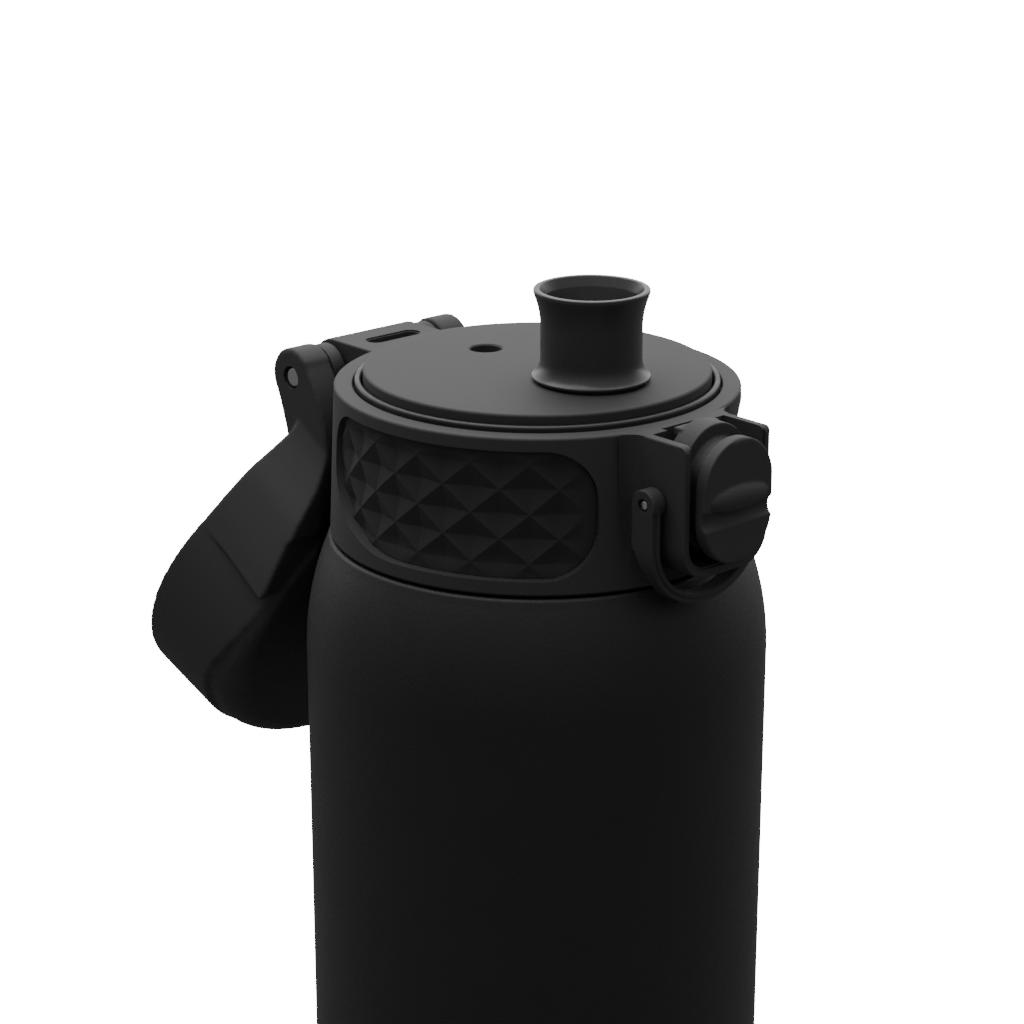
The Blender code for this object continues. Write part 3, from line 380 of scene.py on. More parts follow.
def softened(bm, width, sharp=30, segments=3):
    """Round every convex edge sharper than the given angle."""
    limit = math.radians(sharp)
    edges = [edge for edge in bm.edges if edge.is_convex and edge.calc_face_angle(0.0) > limit]
    bmesh.ops.bevel(
        bm,
        geom=edges,
        offset=width,
        offset_type="OFFSET",
        segments=segments,
        profile=0.5,
        affect="EDGES",
        clamp_overlap=False,
    )
    return closed(bm)


def arc(centre, radius, start, end, steps):
    """Points on an arc, with angles in degrees."""
    points = []
    for step in range(steps + 1):
        angle = math.radians(start + (end - start) * step / steps)
        points.append((centre[0] + radius * math.cos(angle), centre[1] + radius * math.sin(angle)))
    return points


def circle(centre, radius, sides=48):
    return arc(centre, radius, 0, 360 * (sides - 1) / sides, sides - 1)


def rod(centre, radius, start, end, soft=0.0, sides=48):
    """A round bar along X with rounded ends."""
    return prism(circle(centre, radius, sides), "X", start, end, soft)


def box(low, high, soft=0.0):
    corners = [(low[0], low[1]), (high[0], low[1]), (high[0], high[1]), (low[0], high[1])]
    return prism(corners, "Z", low[2], high[2], soft)


def working(bm):
    mesh = bpy.data.meshes.new("working")
    bm.to_mesh(mesh)
    bm.free()
    item = bpy.data.objects.new("working", mesh)
    bpy.context.scene.collection.objects.link(item)
    return item


def evaluated(item):
    """The item's mesh with its modifiers applied, as a bmesh; the item goes."""
    bpy.context.view_layer.update()
    shape = item.evaluated_get(bpy.context.evaluated_depsgraph_get())
    result = bmesh.new()
    result.from_mesh(shape.to_mesh())
    shape.to_mesh_clear()
    bpy.data.objects.remove(item, do_unlink=True)
    return result


def combine(first, second, operation):
    """Boolean of two bmeshes, which are used up."""
    body, tool = working(first), working(second)
    modifier = body.modifiers.new("shape", "BOOLEAN")
    modifier.operation = operation
    modifier.solver = "EXACT"
    modifier.object = tool
    result = evaluated(body)
    bpy.data.objects.remove(tool, do_unlink=True)
    return closed(result)


def cut(body, *tools):
    for tool in tools:
        body = combine(body, tool, "DIFFERENCE")
    return body


def join(body, *others):
    for other in others:
        body = combine(body, other, "UNION")
    return body


def melted(bm, voxel, passes=6):
    """Flow a solid into one even skin, which rounds its edges like a moulding's."""
    item = working(bm)
    remesh = item.modifiers.new("skin", "REMESH")
    remesh.mode = "VOXEL"
    remesh.voxel_size = voxel
    smooth = item.modifiers.new("relax", "SMOOTH")
    smooth.factor = 0.5
    smooth.iterations = passes
    return closed(evaluated(item))


def mirrored(bm):
    """The same shape on the other side of the YZ plane."""
    other = bm.copy()
    bmesh.ops.transform(other, matrix=Matrix.Diagonal((-1, 1, 1, 1)), verts=other.verts)
    return closed(other)


def opened(bm):
    """Swing a shape that is drawn with the cover closed to where it rests open."""
    turn = Matrix.Translation(PIN) @ Matrix.Rotation(-OPEN_ANGLE, 4, "X") @ Matrix.Translation(-PIN)
    bmesh.ops.transform(bm, matrix=turn, verts=bm.verts)
    return bm


def place(name, bm, material, body, nodes=(), slot=None, lift=LID_Z, smooth=32):
    """Make a finished piece from a mesh drawn in the lid's frame, riding on a body."""
    bmesh.ops.transform(bm, matrix=Matrix.Translation((0.0, 0.0, lift)), verts=bm.verts)
    mesh = bpy.data.meshes.new(name)
    bm.to_mesh(mesh)
    bm.free()
    mesh.materials.append(material)
    mesh.shade_smooth()
    mesh.set_sharp_from_angle(angle=math.radians(smooth))
    item = bpy.data.objects.new(name, mesh)
    bpy.context.scene.collection.objects.link(item)
    weigh_normals(item)
    settle(item, body, nodes)
    return item


def weigh_normals(item):
    """Keep flat faces flat next to their rounded edges."""
    modifier = item.modifiers.new("even", "WEIGHTED_NORMAL")
    modifier.keep_sharp = True
    shape = item.evaluated_get(bpy.context.evaluated_depsgraph_get())
    mesh = bpy.data.meshes.new_from_object(shape)
    item.modifiers.clear()
    old = item.data
    item.data = mesh
    mesh.name = item.name
    bpy.data.meshes.remove(old)


def settle(item, body, nodes):
    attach(item, body)
    if nodes:
        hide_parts(*nodes)


def recoat(material, *nodes):
    """Give CAD nodes that stay visible their finish."""
    for node in nodes:
        item = frame["nodes"][node]
        item.data.materials.clear()
        item.data.materials.append(material)


def smooth_through(points, value):
    """Height at value on a smooth curve through (place, height) points in rising order."""
    if value <= points[0][0]:
        return points[0][1]
    if value >= points[-1][0]:
        return points[-1][1]
    index = max(i for i in range(len(points) - 1) if points[i][0] <= value)
    (x0, y0), (x1, y1) = points[index], points[index + 1]
    before = points[max(index - 1, 0)]
    after = points[min(index + 2, len(points) - 1)]
    slope0 = (y1 - before[1]) / (x1 - before[0])
    slope1 = (after[1] - y0) / (after[0] - x0)
    t = (value - x0) / (x1 - x0)
    width = x1 - x0
    return (
        y0 * (1 + 2 * t) * (1 - t) ** 2
        + slope0 * width * t * (1 - t) ** 2
        + y1 * t * t * (3 - 2 * t)
        + slope1 * width * t * t * (t - 1)
    )


# ---------------------------------------------------------------- bottle pieces

COLLAR_HEIGHT = 23.9 * mm
COLLAR_FLARE = 1.0 * mm
COLLAR_BORE = 28.4 * mm
SHOULDER_START = 43.0 * mm
SHOULDER_ARC = 46.0 * mm
STEEL = 0.8 * mm


def shoulder(inset, steps=24):
    """The shoulder's arc from the straight side up to the collar, in the lid's frame."""
    rise = SHOULDER_START - COLLAR_HEIGHT - 2 * GAP - inset
    points = []
    for step in range(steps + 1):
        up = rise * step / steps
        inward = SHOULDER_ARC - math.sqrt(SHOULDER_ARC**2 - up * up)
        points.append((sizes().body_radius - inset - inward, up - SHOULDER_START))
    return points


def bottle_wall():
    """Coated outer wall: rolled foot, straight side, drawn shoulder and neck."""
    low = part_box("outer_shell")[0]
    radius = sizes().body_radius
    foot = low.z - LID_Z
    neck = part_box("inner_flask")[1].z - LID_Z - STEEL - GAP
    neck_radius = 24.9 * mm
    outline = [(radius - STEEL, foot, 0.3 * mm), (radius - 0.3 * mm, foot, 1.2 * mm)]
    outline += [(radius, foot + 2.6 * mm, 2.4 * mm)] + shoulder(0.0)[:-1]
    edge = shoulder(0.0)[-1]
    ledge = edge[1] + 0.25 * mm
    outline += [(edge[0], ledge, 0.9 * mm), (neck_radius, ledge, 1.5 * mm)]
    outline += [(neck_radius, neck), (neck_radius - STEEL, neck), (neck_radius - STEEL, ledge + 0.2 * mm)]
    outline += [(neck_radius, ledge - STEEL)] + list(reversed(shoulder(STEEL)[:-1]))
    place("bottle_wall", turned(rounded(outline)), powder_coat(), "bottle", ["outer_shell"], "coated_steel")


def base_foot():
    """Bare steel base with a shallow stamped ring."""
    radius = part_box("base_plate")[1].x
    thick = 1.2 * mm
    floor = -LID_Z
    rim = floor + 4.5 * mm
    outline = [(0.0, floor), (radius - 0.7 * mm, floor, 0.6 * mm), (radius, floor + 0.9 * mm, 0.6 * mm)]
    outline += [(radius, rim), (radius - STEEL, rim), (radius - STEEL, floor + thick, 0.8 * mm)]
    outline.append((0.0, floor + thick))
    place("base_foot", turned(rounded(outline)), satin_steel(), "bottle", ["base_plate"], "bare_steel")


# ---------------------------------------------------------------- lid pieces

DECK_RISE = 2.2 * mm
DECK_CROWN = 0.5 * mm
DECK_THICK = 2.0 * mm
PORT_OFFSET = 12.0 * mm
SPOUT_FOOT = 8.3 * mm
VENT_RADIUS = 2.5 * mm
LATCH_HALF = 8.8 * mm
LATCH_WALL = 1.4 * mm
LATCH_FRONT = 40.8 * mm
LATCH_DEPTH = 20.7 * mm
LATCH_FLOOR = 1.7 * mm
LATCH_CORNER = 5.2 * mm
EAR_CORNER = 1.2 * mm
BRIDGE_HALF = 8.6 * mm
BRIDGE_GROOVE = 0.6 * mm
KNUCKLE_RADIUS = 4.4 * mm
EAR_RADIUS = 4.8 * mm
EAR_INNER = 12.0 * mm
EAR_OUTER = 17.2 * mm
PIN_RADIUS = 1.6 * mm


def collar_radius(z):
    return sizes().collar_radius - COLLAR_FLARE * z / COLLAR_HEIGHT


def deck_top(radius):
    return DECK_RISE + DECK_CROWN * (1 - (radius / sizes().deck_radius) ** 2)


def lid_deck():
    """Crowned deck with a crisp edge and eased holes for the spout and the vent."""
    edge = sizes().deck_radius
    inner = edge - 1.6 * mm
    foot = -3.5 * mm
    under = DECK_RISE - DECK_THICK
    outline = [(radius * mm, deck_top(radius * mm)) for radius in (0, 4, 8, 12, 16, 20, 24)]
    outline += [(edge, DECK_RISE, 0.45 * mm), (edge, foot, 0.2 * mm)]
    outline += [(inner, foot, 0.2 * mm), (inner, under, 0.3 * mm), (0.0, under)]
    deck = turned(rounded(outline, 5))
    for radius, y in ((SPOUT_FOOT, -PORT_OFFSET), (VENT_RADIUS, PORT_OFFSET)):
        top = deck_top(PORT_OFFSET)
        hole = [(0.0, foot - GAP), (radius, foot - GAP), (radius, top - 0.25 * mm)]
        hole += [(radius + 0.5 * mm, top + 0.25 * mm), (radius + 0.5 * mm, 3 * mm), (0.0, 3 * mm)]
        deck = cut(deck, turned(hole, 96, (0.0, y)))
    place("lid_deck_face", deck, lid_plastic(), "lid", ["lid_deck"], "lid_plastic")


def deck_bead():
    """Half-round silicone bead in the channel round the deck."""
    low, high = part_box("deck_gasket")
    inner = sizes().deck_radius + GAP
    outer = high.x
    foot = low.z - LID_Z
    top = high.z - LID_Z
    outline = [(inner, foot), (outer, foot), (outer, top, 0.45 * mm), (inner, top, 0.45 * mm)]
    place("deck_bead", turned(rounded(outline, 6)), seal_silicone(), "lid", ["deck_gasket"], "seal_rubber")


def drinking_spout():
    """Thin tube with a flared lip, standing on a skirt that hides the deck's hole."""
    low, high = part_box("spout")
    top = high.z - LID_Z
    floor = low.z - LID_Z
    throat = 7.7 * mm
    bore = 6.2 * mm
    lip = LIP_RADIUS
    skirt = 9.0 * mm
    seat = deck_top(PORT_OFFSET - skirt) + GAP
    outline = [(7.9 * mm, top, 0.25 * mm), (lip, top, 0.25 * mm), (lip, top - 0.55 * mm, 0.3 * mm)]
    for step in range(9):
        t = step / 8
        outline.append((throat + (lip - throat) * 0.9 * (1 - t) ** 2.2, top - (0.9 + 5.3 * t) * mm))
    for step in range(9):
        t = step / 8
        outline.append((throat + 1.05 * mm * t**2.6, seat + (3.4 - 2.9 * t) * mm))
    outline += [(skirt, seat + 0.35 * mm, 0.15 * mm), (skirt, seat, 0.1 * mm), (SPOUT_FOOT - GAP, seat)]
    outline += [(SPOUT_FOOT - GAP, floor), (bore, floor), (bore, top - 6 * mm, 2 * mm)]
    outline += [(bore + 0.3 * mm, top - 3.6 * mm, 1 * mm), (bore + 0.9 * mm, top - 1.5 * mm, 1 * mm)]
    piece = turned(rounded(outline, 5), 128, (0.0, -PORT_OFFSET))
    place("drinking_spout", piece, smooth_plastic(), "lid", ["spout"], "spout_plastic")


def latch_outline(half, top, foot, corner):
    """A U-shaped outline (x, z), open at the top."""
    points = [(-half, top)]
    points += arc((-half + corner, foot + corner), corner, 180, 270, 12)
    points += arc((half - corner, foot + corner), corner, 270, 360, 12)
    points.append((half, top))
    return points


def collar_ring():
    """The collar's turned ring with its gasket channel and ledge."""
    foot = -COLLAR_HEIGHT
    soft = sizes().softness
    deck = sizes().deck_radius
    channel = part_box("deck_gasket")[1].x + GAP
    floor = -1.5 * mm
    outline = [(sizes().collar_radius, 0.0, 0.45 * mm), (collar_radius(foot), foot, 0.5 * mm)]
    outline += [(COLLAR_BORE, foot, soft), (COLLAR_BORE, -3.5 * mm), (deck + GAP, -3.5 * mm)]
    outline += [(deck + GAP, floor), (channel, floor), (channel, 0.0, 0.25 * mm)]
    return turned(rounded(outline, 5))


def latch_housing():
    """Two ears joined by a rounded floor, which carry the button and the loop."""
    soft = sizes().softness
    root = COLLAR_BORE + 1.5 * mm
    outer = prism(latch_outline(LATCH_HALF, 0.0, -LATCH_DEPTH, LATCH_CORNER), "Y", -LATCH_FRONT, -root, soft)
    side = [(-root, 0.0)] + arc((-LATCH_FRONT + EAR_CORNER, -EAR_CORNER), EAR_CORNER, 90, 180, 12)
    side += [(-LATCH_FRONT, -LATCH_DEPTH), (-root, -LATCH_DEPTH)]
    outer = combine(outer, prism(side, "X", -2 * LATCH_HALF, 2 * LATCH_HALF), "INTERSECT")
    half = LATCH_HALF - LATCH_WALL
    foot = -LATCH_DEPTH + LATCH_FLOOR
    channel = latch_outline(half, 4 * mm, foot, LATCH_CORNER - LATCH_FLOOR)
    room = prism(channel, "Y", -LATCH_FRONT - 4 * mm, -collar_radius(-COLLAR_HEIGHT) - GAP)
    wide = latch_outline(half + 0.35 * mm, 5 * mm, foot - 0.35 * mm, LATCH_CORNER - LATCH_FLOOR + 0.35 * mm)
    mouth = prism(wide, "Y", -LATCH_FRONT - 4 * mm, -LATCH_FRONT + 0.3 * mm)
    half = TONGUE_HALF + GAP + 0.1 * mm
    back = -sizes().collar_radius
    notch = box((-half, back - 2.1 * mm, -TONGUE_DROP - GAP - 0.1 * mm), (half, back - 0.1 * mm, 1 * mm))
    return outer, (room, mouth, notch)


def ear_fillet():
    """Concave webs that ease the collar's wall into the latch's ears."""
    reach = COLLAR_BORE + 1.5 * mm
    spread = LATCH_HALF + 2.6 * mm
    touch = collar_radius(0.0) + 0.9 * mm
    outline = [(LATCH_HALF - 1 * mm, -reach), (-LATCH_HALF + 1 * mm, -reach), (-spread, -reach)]
    for step in range(9):
        turn = math.radians(90 * step / 8)
        x = spread - (spread - LATCH_HALF) * math.sin(turn)
        y = reach + (touch - reach) * (1 - math.cos(turn))
        outline.append((-x, -y))
    outline += [(-x, y) for x, y in reversed([(a, b) for a, b in outline[3:]])]
    outline.append((spread, -reach))
    return prism(outline, "Z", -LATCH_DEPTH + 3 * mm, -0.02 * mm)


def hinge_bridge():
    """Block behind the collar, flat on top and rounded round the hinge pin."""
    radius = -PIN.z
    root = COLLAR_BORE + 1.5 * mm
    outline = [(root, 0.0)] + list(reversed(arc((PIN.y, PIN.z), radius, -90, 90, 28)))
    outline.append((root, PIN.z - radius - 1.8 * mm))
    return prism(outline, "X", -BRIDGE_HALF, BRIDGE_HALF, sizes().softness)


def strap_slot(grow, low, high):
    half = 1.4 * mm + grow
    reach = 3.6 * mm
    centre = sizes().collar_radius + 3.5 * mm
    outline = arc((-reach, centre), half, 90, 270, 16) + arc((reach, centre), half, 270, 450, 16)
    return prism(outline, "Z", low, high)


def collar():
    """The collar with its latch housing, hinge bridge, strap slot and panel recesses."""
    soft = sizes().softness
    housing, rooms = latch_housing()
    knuckle_start = BRIDGE_HALF + BRIDGE_GROOVE
    knuckle_end = EAR_INNER - GAP
    core = rod((PIN.y, PIN.z), KNUCKLE_RADIUS - 1.1 * mm, -knuckle_end + 1 * mm, knuckle_end - 1 * mm)
    body = join(collar_ring(), housing, ear_fillet(), hinge_bridge(), core)
    for side in (-1, 1):
        start, end = sorted((side * knuckle_start, side * knuckle_end))
        body = join(body, rod((PIN.y, PIN.z), KNUCKLE_RADIUS, start, end, soft * 0.7, 64))
    inner = prism(circle((0.0, 0.0), COLLAR_BORE, sizes().sides), "Z", -2 * COLLAR_HEIGHT, -3.5 * mm)
    seat = sizes().deck_radius + GAP
    top = prism(circle((0.0, 0.0), seat, sizes().sides), "Z", -2 * COLLAR_HEIGHT, COLLAR_HEIGHT)
    pin_hole = rod((PIN.y, PIN.z), PIN_RADIUS + GAP, -EAR_OUTER, EAR_OUTER)
    room = 3.3 * mm
    spring_half = 0.4 * BRIDGE_HALF + 0.7 * mm
    pocket = box((-spring_half, PIN.y - room, 4 * PIN.z), (spring_half, PIN.y + room, PIN.z + room))
    slot = strap_slot(0.0, 4 * PIN.z, -PIN.z)
    slot_lip = strap_slot(0.3 * mm, -0.25 * mm, 2 * mm)
    body = cut(body, inner, top, *rooms, pin_hole, pocket, slot, slot_lip)
    pocket_right = panel_recess()
    body = cut(body, mirrored(pocket_right), pocket_right)
    button_hole = rod((BUTTON_AXIS.y, BUTTON_AXIS.z), 1.2 * mm, -LATCH_HALF + 0.5 * mm, LATCH_HALF - 0.5 * mm)
    loop_hole = rod((LOOP_AXIS.y, LOOP_AXIS.z), 1.0 * mm, -2 * LATCH_HALF, 2 * LATCH_HALF)
    body = cut(body, button_hole, loop_hole)
    place("collar", body, lid_plastic(), "lid", ["lid_collar"], "lid_plastic")


# ---------------------------------------------------------------- grip panels

PANEL_TOP = 2.0 * mm
PANEL_HEIGHT = 19.6 * mm
PANEL_FRONT = math.radians(26)
PANEL_REAR = math.radians(117)
PANEL_CORNER = 8.0 * mm
PANEL_DEPTH = 2.2 * mm
PANEL_INSET = 0.5 * mm
DIAMOND_COLUMN = math.radians(8.15)
DIAMOND_ROW = 3.8 * mm
DIAMOND_DEPTH = 1.0 * mm
FIRST_RIDGE = math.radians(44.6)
COLUMNS = 13
ROWS = 6
FINENESS = 8  # facets across half a diamond


def panel_outline(inset=0.0):
    """(x, z) of the panel's outline laid flat, with a long slanted lower rear corner."""
    radius = sizes().collar_radius
    front = PANEL_FRONT * radius + inset
    rear = PANEL_REAR * radius - inset
    top = -PANEL_TOP - inset
    foot = -PANEL_TOP - PANEL_HEIGHT + inset
    round_off = (PANEL_CORNER - inset, PANEL_CORNER - inset)
    tight = (0.8 * PANEL_CORNER, 0.8 * PANEL_CORNER)
    slant = (0.95 * PANEL_HEIGHT, 0.6 * PANEL_HEIGHT)
    corners = (
        (front, foot, 1, 1, round_off),
        (rear, foot, -1, 1, slant),
        (rear, top, -1, -1, tight),
        (front, top, 1, -1, round_off),
    )
    points = []
    for index, (x, z, side, up, (wide, high)) in enumerate(corners):
        centre = (x + side * wide, z + up * high)
        for a, b in arc((0.0, 0.0), 1.0, 180 + 90 * index, 270 + 90 * index, 16):
            points.append((centre[0] + wide * a, centre[1] + high * b))
    return points


def stepped_prism(stations):
    """A flat plug of the panel's outline through (height, inset) stations, which chamfers its edges."""
    bm = bmesh.new()
    rings = []
    for height, inset in stations:
        rings.append([bm.verts.new((x, height, z)) for x, z in panel_outline(inset)])
    for first, second in zip(rings, rings[1:]):
        join_rings(bm, first, second)
    bm.faces.new(rings[0])
    bm.faces.new(rings[-1])
    return closed(bm)


def column_x(column):
    return (FIRST_RIDGE + DIAMOND_COLUMN * (column - 3)) * sizes().collar_radius


def bend(bm, steps):
    """Wrap a flat panel round the collar's +X side; y is the height above its top radius."""
    radius = sizes().collar_radius
    for step in range(COLUMNS * steps + 1):
        geometry = bm.verts[:] + bm.edges[:] + bm.faces[:]
        bmesh.ops.bisect_plane(bm, geom=geometry, plane_co=(column_x(step / steps), 0, 0), plane_no=(1, 0, 0))
    for vertex in bm.verts:
        angle = vertex.co.x / radius
        reach = radius + vertex.co.y
        vertex.co = (reach * math.sin(angle), -reach * math.cos(angle), vertex.co.z)
    return closed(bm)


def panel_recess():
    """Cutter for the recess."""
    return bend(stepped_prism(((-PANEL_DEPTH, 0.0), (4 * mm, 0.0))), 4)


def panel_blank():
    """Flat blank whose face is split along the ridges that the press will make."""
    low = -PANEL_TOP - PANEL_HEIGHT / 2 - ROWS / 2 * DIAMOND_ROW
    bm = bmesh.new()
    across = COLUMNS * FINENESS
    up = ROWS * FINENESS
    layers = []
    for height in (GAP - PANEL_DEPTH, -PANEL_INSET):
        grid = []
        for i in range(across + 1):
            x = column_x(i / FINENESS)
            grid.append([bm.verts.new((x, height, low + DIAMOND_ROW * j / FINENESS)) for j in range(up + 1)])
        layers.append(grid)
    for grid in layers:
        for i in range(across):
            for j in range(up):
                a, b = grid[i][j], grid[i + 1][j]
                c, d = grid[i + 1][j + 1], grid[i][j + 1]
                if (i // FINENESS + j // FINENESS) % 2 == 0:
                    bm.faces.new((a, b, c))
                    bm.faces.new((a, c, d))
                else:
                    bm.faces.new((a, b, d))
                    bm.faces.new((b, c, d))
    border = [(i, 0) for i in range(across)] + [(across, j) for j in range(up)]
    border += [(i, up) for i in range(across, 0, -1)] + [(0, j) for j in range(up, 0, -1)]
    under, face = layers
    for first, second in zip(border, border[1:] + border[:1]):
        corners = [under[first[0]][first[1]], under[second[0]][second[1]]]
        corners += [face[second[0]][second[1]], face[first[0]][first[1]]]
        bm.faces.new(corners)
    return closed(bm)


def math_node(tree, operation, first, second=None, third=None):
    """A Math node fed by sockets or numbers; returns its output."""
    node = tree.nodes.new("ShaderNodeMath")
    node.operation = operation
    for index, value in enumerate((first, second, third)):
        if value is None:
            continue
        if isinstance(value, (int, float)):
            node.inputs[index].default_value = value
        else:
            tree.links.new(value, node.inputs[index])
    return node.outputs[0]


def tree_inputs(tree, wanted):
    """Named float, geometry and material inputs of a Geometry Nodes tree."""
    for name, kind in wanted:
        tree.interface.new_socket(name, in_out="INPUT", socket_type=kind)
    tree.interface.new_socket("Geometry", in_out="OUTPUT", socket_type="NodeSocketGeometry")


def set_input(modifier, name, value):
    """Set a tree's input by its socket identifier."""
    for socket in modifier.node_group.interface.items_tree:
        if socket.item_type == "SOCKET" and socket.in_out == "INPUT" and socket.name == name:
            modifier[socket.identifier] = value
            return
    raise KeyError(name)


def diamond_press():
    """Geometry Nodes tree that presses staggered diamonds into a flat blank and wraps it round."""
    tree = bpy.data.node_groups.new("diamond_press", "GeometryNodeTree")
    number = "NodeSocketFloat"
    tree_inputs(
        tree,
        (
            ("Geometry", "NodeSocketGeometry"),
            ("First Column", number),
            ("Column Width", number),
            ("First Row", number),
            ("Row Height", number),
            ("Depth", number),
            ("Front Plain", number),
            ("Rear Plain", number),
            ("Edge Row", number),
            ("Face Height", number),
            ("Radius", number),
            ("Material", "NodeSocketMaterial"),
        ),
    )
    nodes, links = tree.nodes, tree.links
    given = nodes.new("NodeGroupInput").outputs
    spot = nodes.new("GeometryNodeInputPosition")
    parts = nodes.new("ShaderNodeSeparateXYZ")
    links.new(spot.outputs[0], parts.inputs[0])
    x, y, z = parts.outputs

    def triangle(value, first, width):
        """Distance from the nearest even grid line, in half diamonds, from 0 to 1."""
        along = math_node(tree, "DIVIDE", math_node(tree, "SUBTRACT", value, first), width)
        return along, math_node(tree, "PINGPONG", along, 1.0)

    columns, across = triangle(x, given["First Column"], given["Column Width"])
    rows, up = triangle(z, given["First Row"], given["Row Height"])
    # Ridges run where the two distances are equal or add up to one; dents lie between them.
    slant = math_node(tree, "SUBTRACT", across, up)
    dent = math_node(tree, "ABSOLUTE", slant)
    front = math_node(tree, "SUBTRACT", columns, given["Front Plain"])
    rear = math_node(tree, "SUBTRACT", given["Rear Plain"], columns)
    ends = math_node(tree, "MINIMUM", front, rear)
    ends = math_node(tree, "MAXIMUM", math_node(tree, "MINIMUM", ends, 1.0), 0.0)
    low = math_node(tree, "ADD", rows, given["Edge Row"])
    high = math_node(tree, "SUBTRACT", given["Edge Row"], rows)
    sides = math_node(tree, "MINIMUM", math_node(tree, "MINIMUM", low, high), 1.0)
    sides = math_node(tree, "MAXIMUM", sides, 0.0)
    amount = math_node(tree, "MULTIPLY", math_node(tree, "MULTIPLY", dent, ends), sides)
    pressed = math_node(tree, "MULTIPLY", amount, given["Depth"])
    on_face = math_node(tree, "GREATER_THAN", y, given["Face Height"])
    height = math_node(tree, "SUBTRACT", y, math_node(tree, "MULTIPLY", pressed, on_face))
    angle = math_node(tree, "DIVIDE", x, given["Radius"])
    reach = math_node(tree, "ADD", height, given["Radius"])
    around = nodes.new("ShaderNodeCombineXYZ")
    links.new(math_node(tree, "MULTIPLY", reach, math_node(tree, "SINE", angle)), around.inputs[0])
    back = math_node(tree, "MULTIPLY", reach, math_node(tree, "COSINE", angle))
    links.new(math_node(tree, "MULTIPLY", back, -1.0), around.inputs[1])
    links.new(z, around.inputs[2])
    move = nodes.new("GeometryNodeSetPosition")
    links.new(given["Geometry"], move.inputs["Geometry"])
    links.new(around.outputs[0], move.inputs["Position"])
    end_tree(tree, move.outputs[0], given["Material"])
    return tree


def end_tree(tree, geometry, material):
    """Realize Instances and Set Material, then the output."""
    real = tree.nodes.new("GeometryNodeRealizeInstances")
    paint = tree.nodes.new("GeometryNodeSetMaterial")
    out = tree.nodes.new("NodeGroupOutput")
    tree.links.new(geometry, real.inputs[0])
    tree.links.new(real.outputs[0], paint.inputs["Geometry"])
    tree.links.new(material, paint.inputs["Material"])
    tree.links.new(paint.outputs[0], out.inputs[0])


def grown(bm, tree, values):
    """The bmesh after a Geometry Nodes tree with the given named inputs."""
    item = working(bm)
    modifier = item.modifiers.new("shape", "NODES")
    modifier.node_group = tree
    for name, value in values.items():
        set_input(modifier, name, value)
    return closed(evaluated(item))


def grip_panels():
    """Soft panels, pressed with diamonds, in the recesses on both sides."""
    seam = 0.08 * mm
    plug = stepped_prism(((-4 * mm, seam), (4 * mm, seam)))
    blank = combine(panel_blank(), plug, "INTERSECT")
    middle = -PANEL_TOP - PANEL_HEIGHT / 2
    values = {
        "First Column": column_x(3),
        "Column Width": column_x(1) - column_x(0),
        "First Row": middle,
        "Row Height": DIAMOND_ROW,
        "Depth": DIAMOND_DEPTH,
        "Front Plain": -2.0,
        "Rear Plain": 9.0,
        "Edge Row": 2.7,
        "Face Height": -PANEL_INSET - 0.25 * mm,
        "Radius": sizes().collar_radius,
        "Material": grip_rubber(),
    }
    panel = grown(blank, diamond_press(), values)
    rubber = grip_rubber()
    place("grip_panel_near", mirrored(panel), rubber, "lid", ["grip_panel_left"], "grip_rubber", smooth=12)
    place("grip_panel_far", panel, rubber, "lid", ["grip_panel_right"], "grip_rubber", smooth=12)


# ---------------------------------------------------------------- flip cover

COVER_TAPER = 3.0 * mm
COVER_TOP = 21.0 * mm
COVER_WALL = 1.8 * mm
COVER_LIFT = 0.3 * mm
LINER_WALL = 1.0 * mm
SCOOP_HALF = 19.0 * mm
TONGUE_HALF = 4.0 * mm
TONGUE_DROP = 2.2 * mm
LIP_RADIUS = 8.8 * mm
SPOUT_TOP = 16.7 * mm


def crown(y):
    """Height of the cover's top along its middle line, drawn closed."""
    ramp = [(-20.0, 21.0), (0.0, 20.9), (9.0, 20.3), (16.0, 18.9), (22.0, 16.9), (28.0, 14.0)]
    ramp += [(34.0, 10.3), (38.5, 6.3), (42.0, 1.6), (44.8, -4.0)]
    return smooth_through([(place_y * mm, height * mm) for place_y, height in ramp], y)


def scoop(x, y):
    """Depth of the hollow that lets the open cover lie round the bottle's back."""
    depth = [(2.0, 0.0), (6.0, 1.3), (10.0, 3.4), (14.0, 5.4), (19.0, 6.3), (24.0, 6.2)]
    depth += [(28.0, 4.6), (32.0, 3.2), (36.0, 1.5), (40.0, 0.0)]
    middle = smooth_through([(place_y * mm, height * mm) for place_y, height in depth], y)
    return middle * max(0.0, 1 - (x / SCOOP_HALF) ** 2)


def brow(x, y, drop):
    """How far the top falls away near the side wall, softly in front and crisply by the hinge."""
    soft = 6.0 * mm - smooth_through([(-8 * mm, 0.0), (16 * mm, 5.4 * mm)], y)
    soft = max(soft - drop, 0.3 * mm)
    edge = sizes().cover_radius - COVER_TAPER - drop
    inside = edge - math.hypot(x, y)
    if inside >= soft or y > 24 * mm:
        return 0.0
    short = min(soft - max(inside, 0.0), soft)
    return soft - math.sqrt(max(soft * soft - short * short, 0.0))


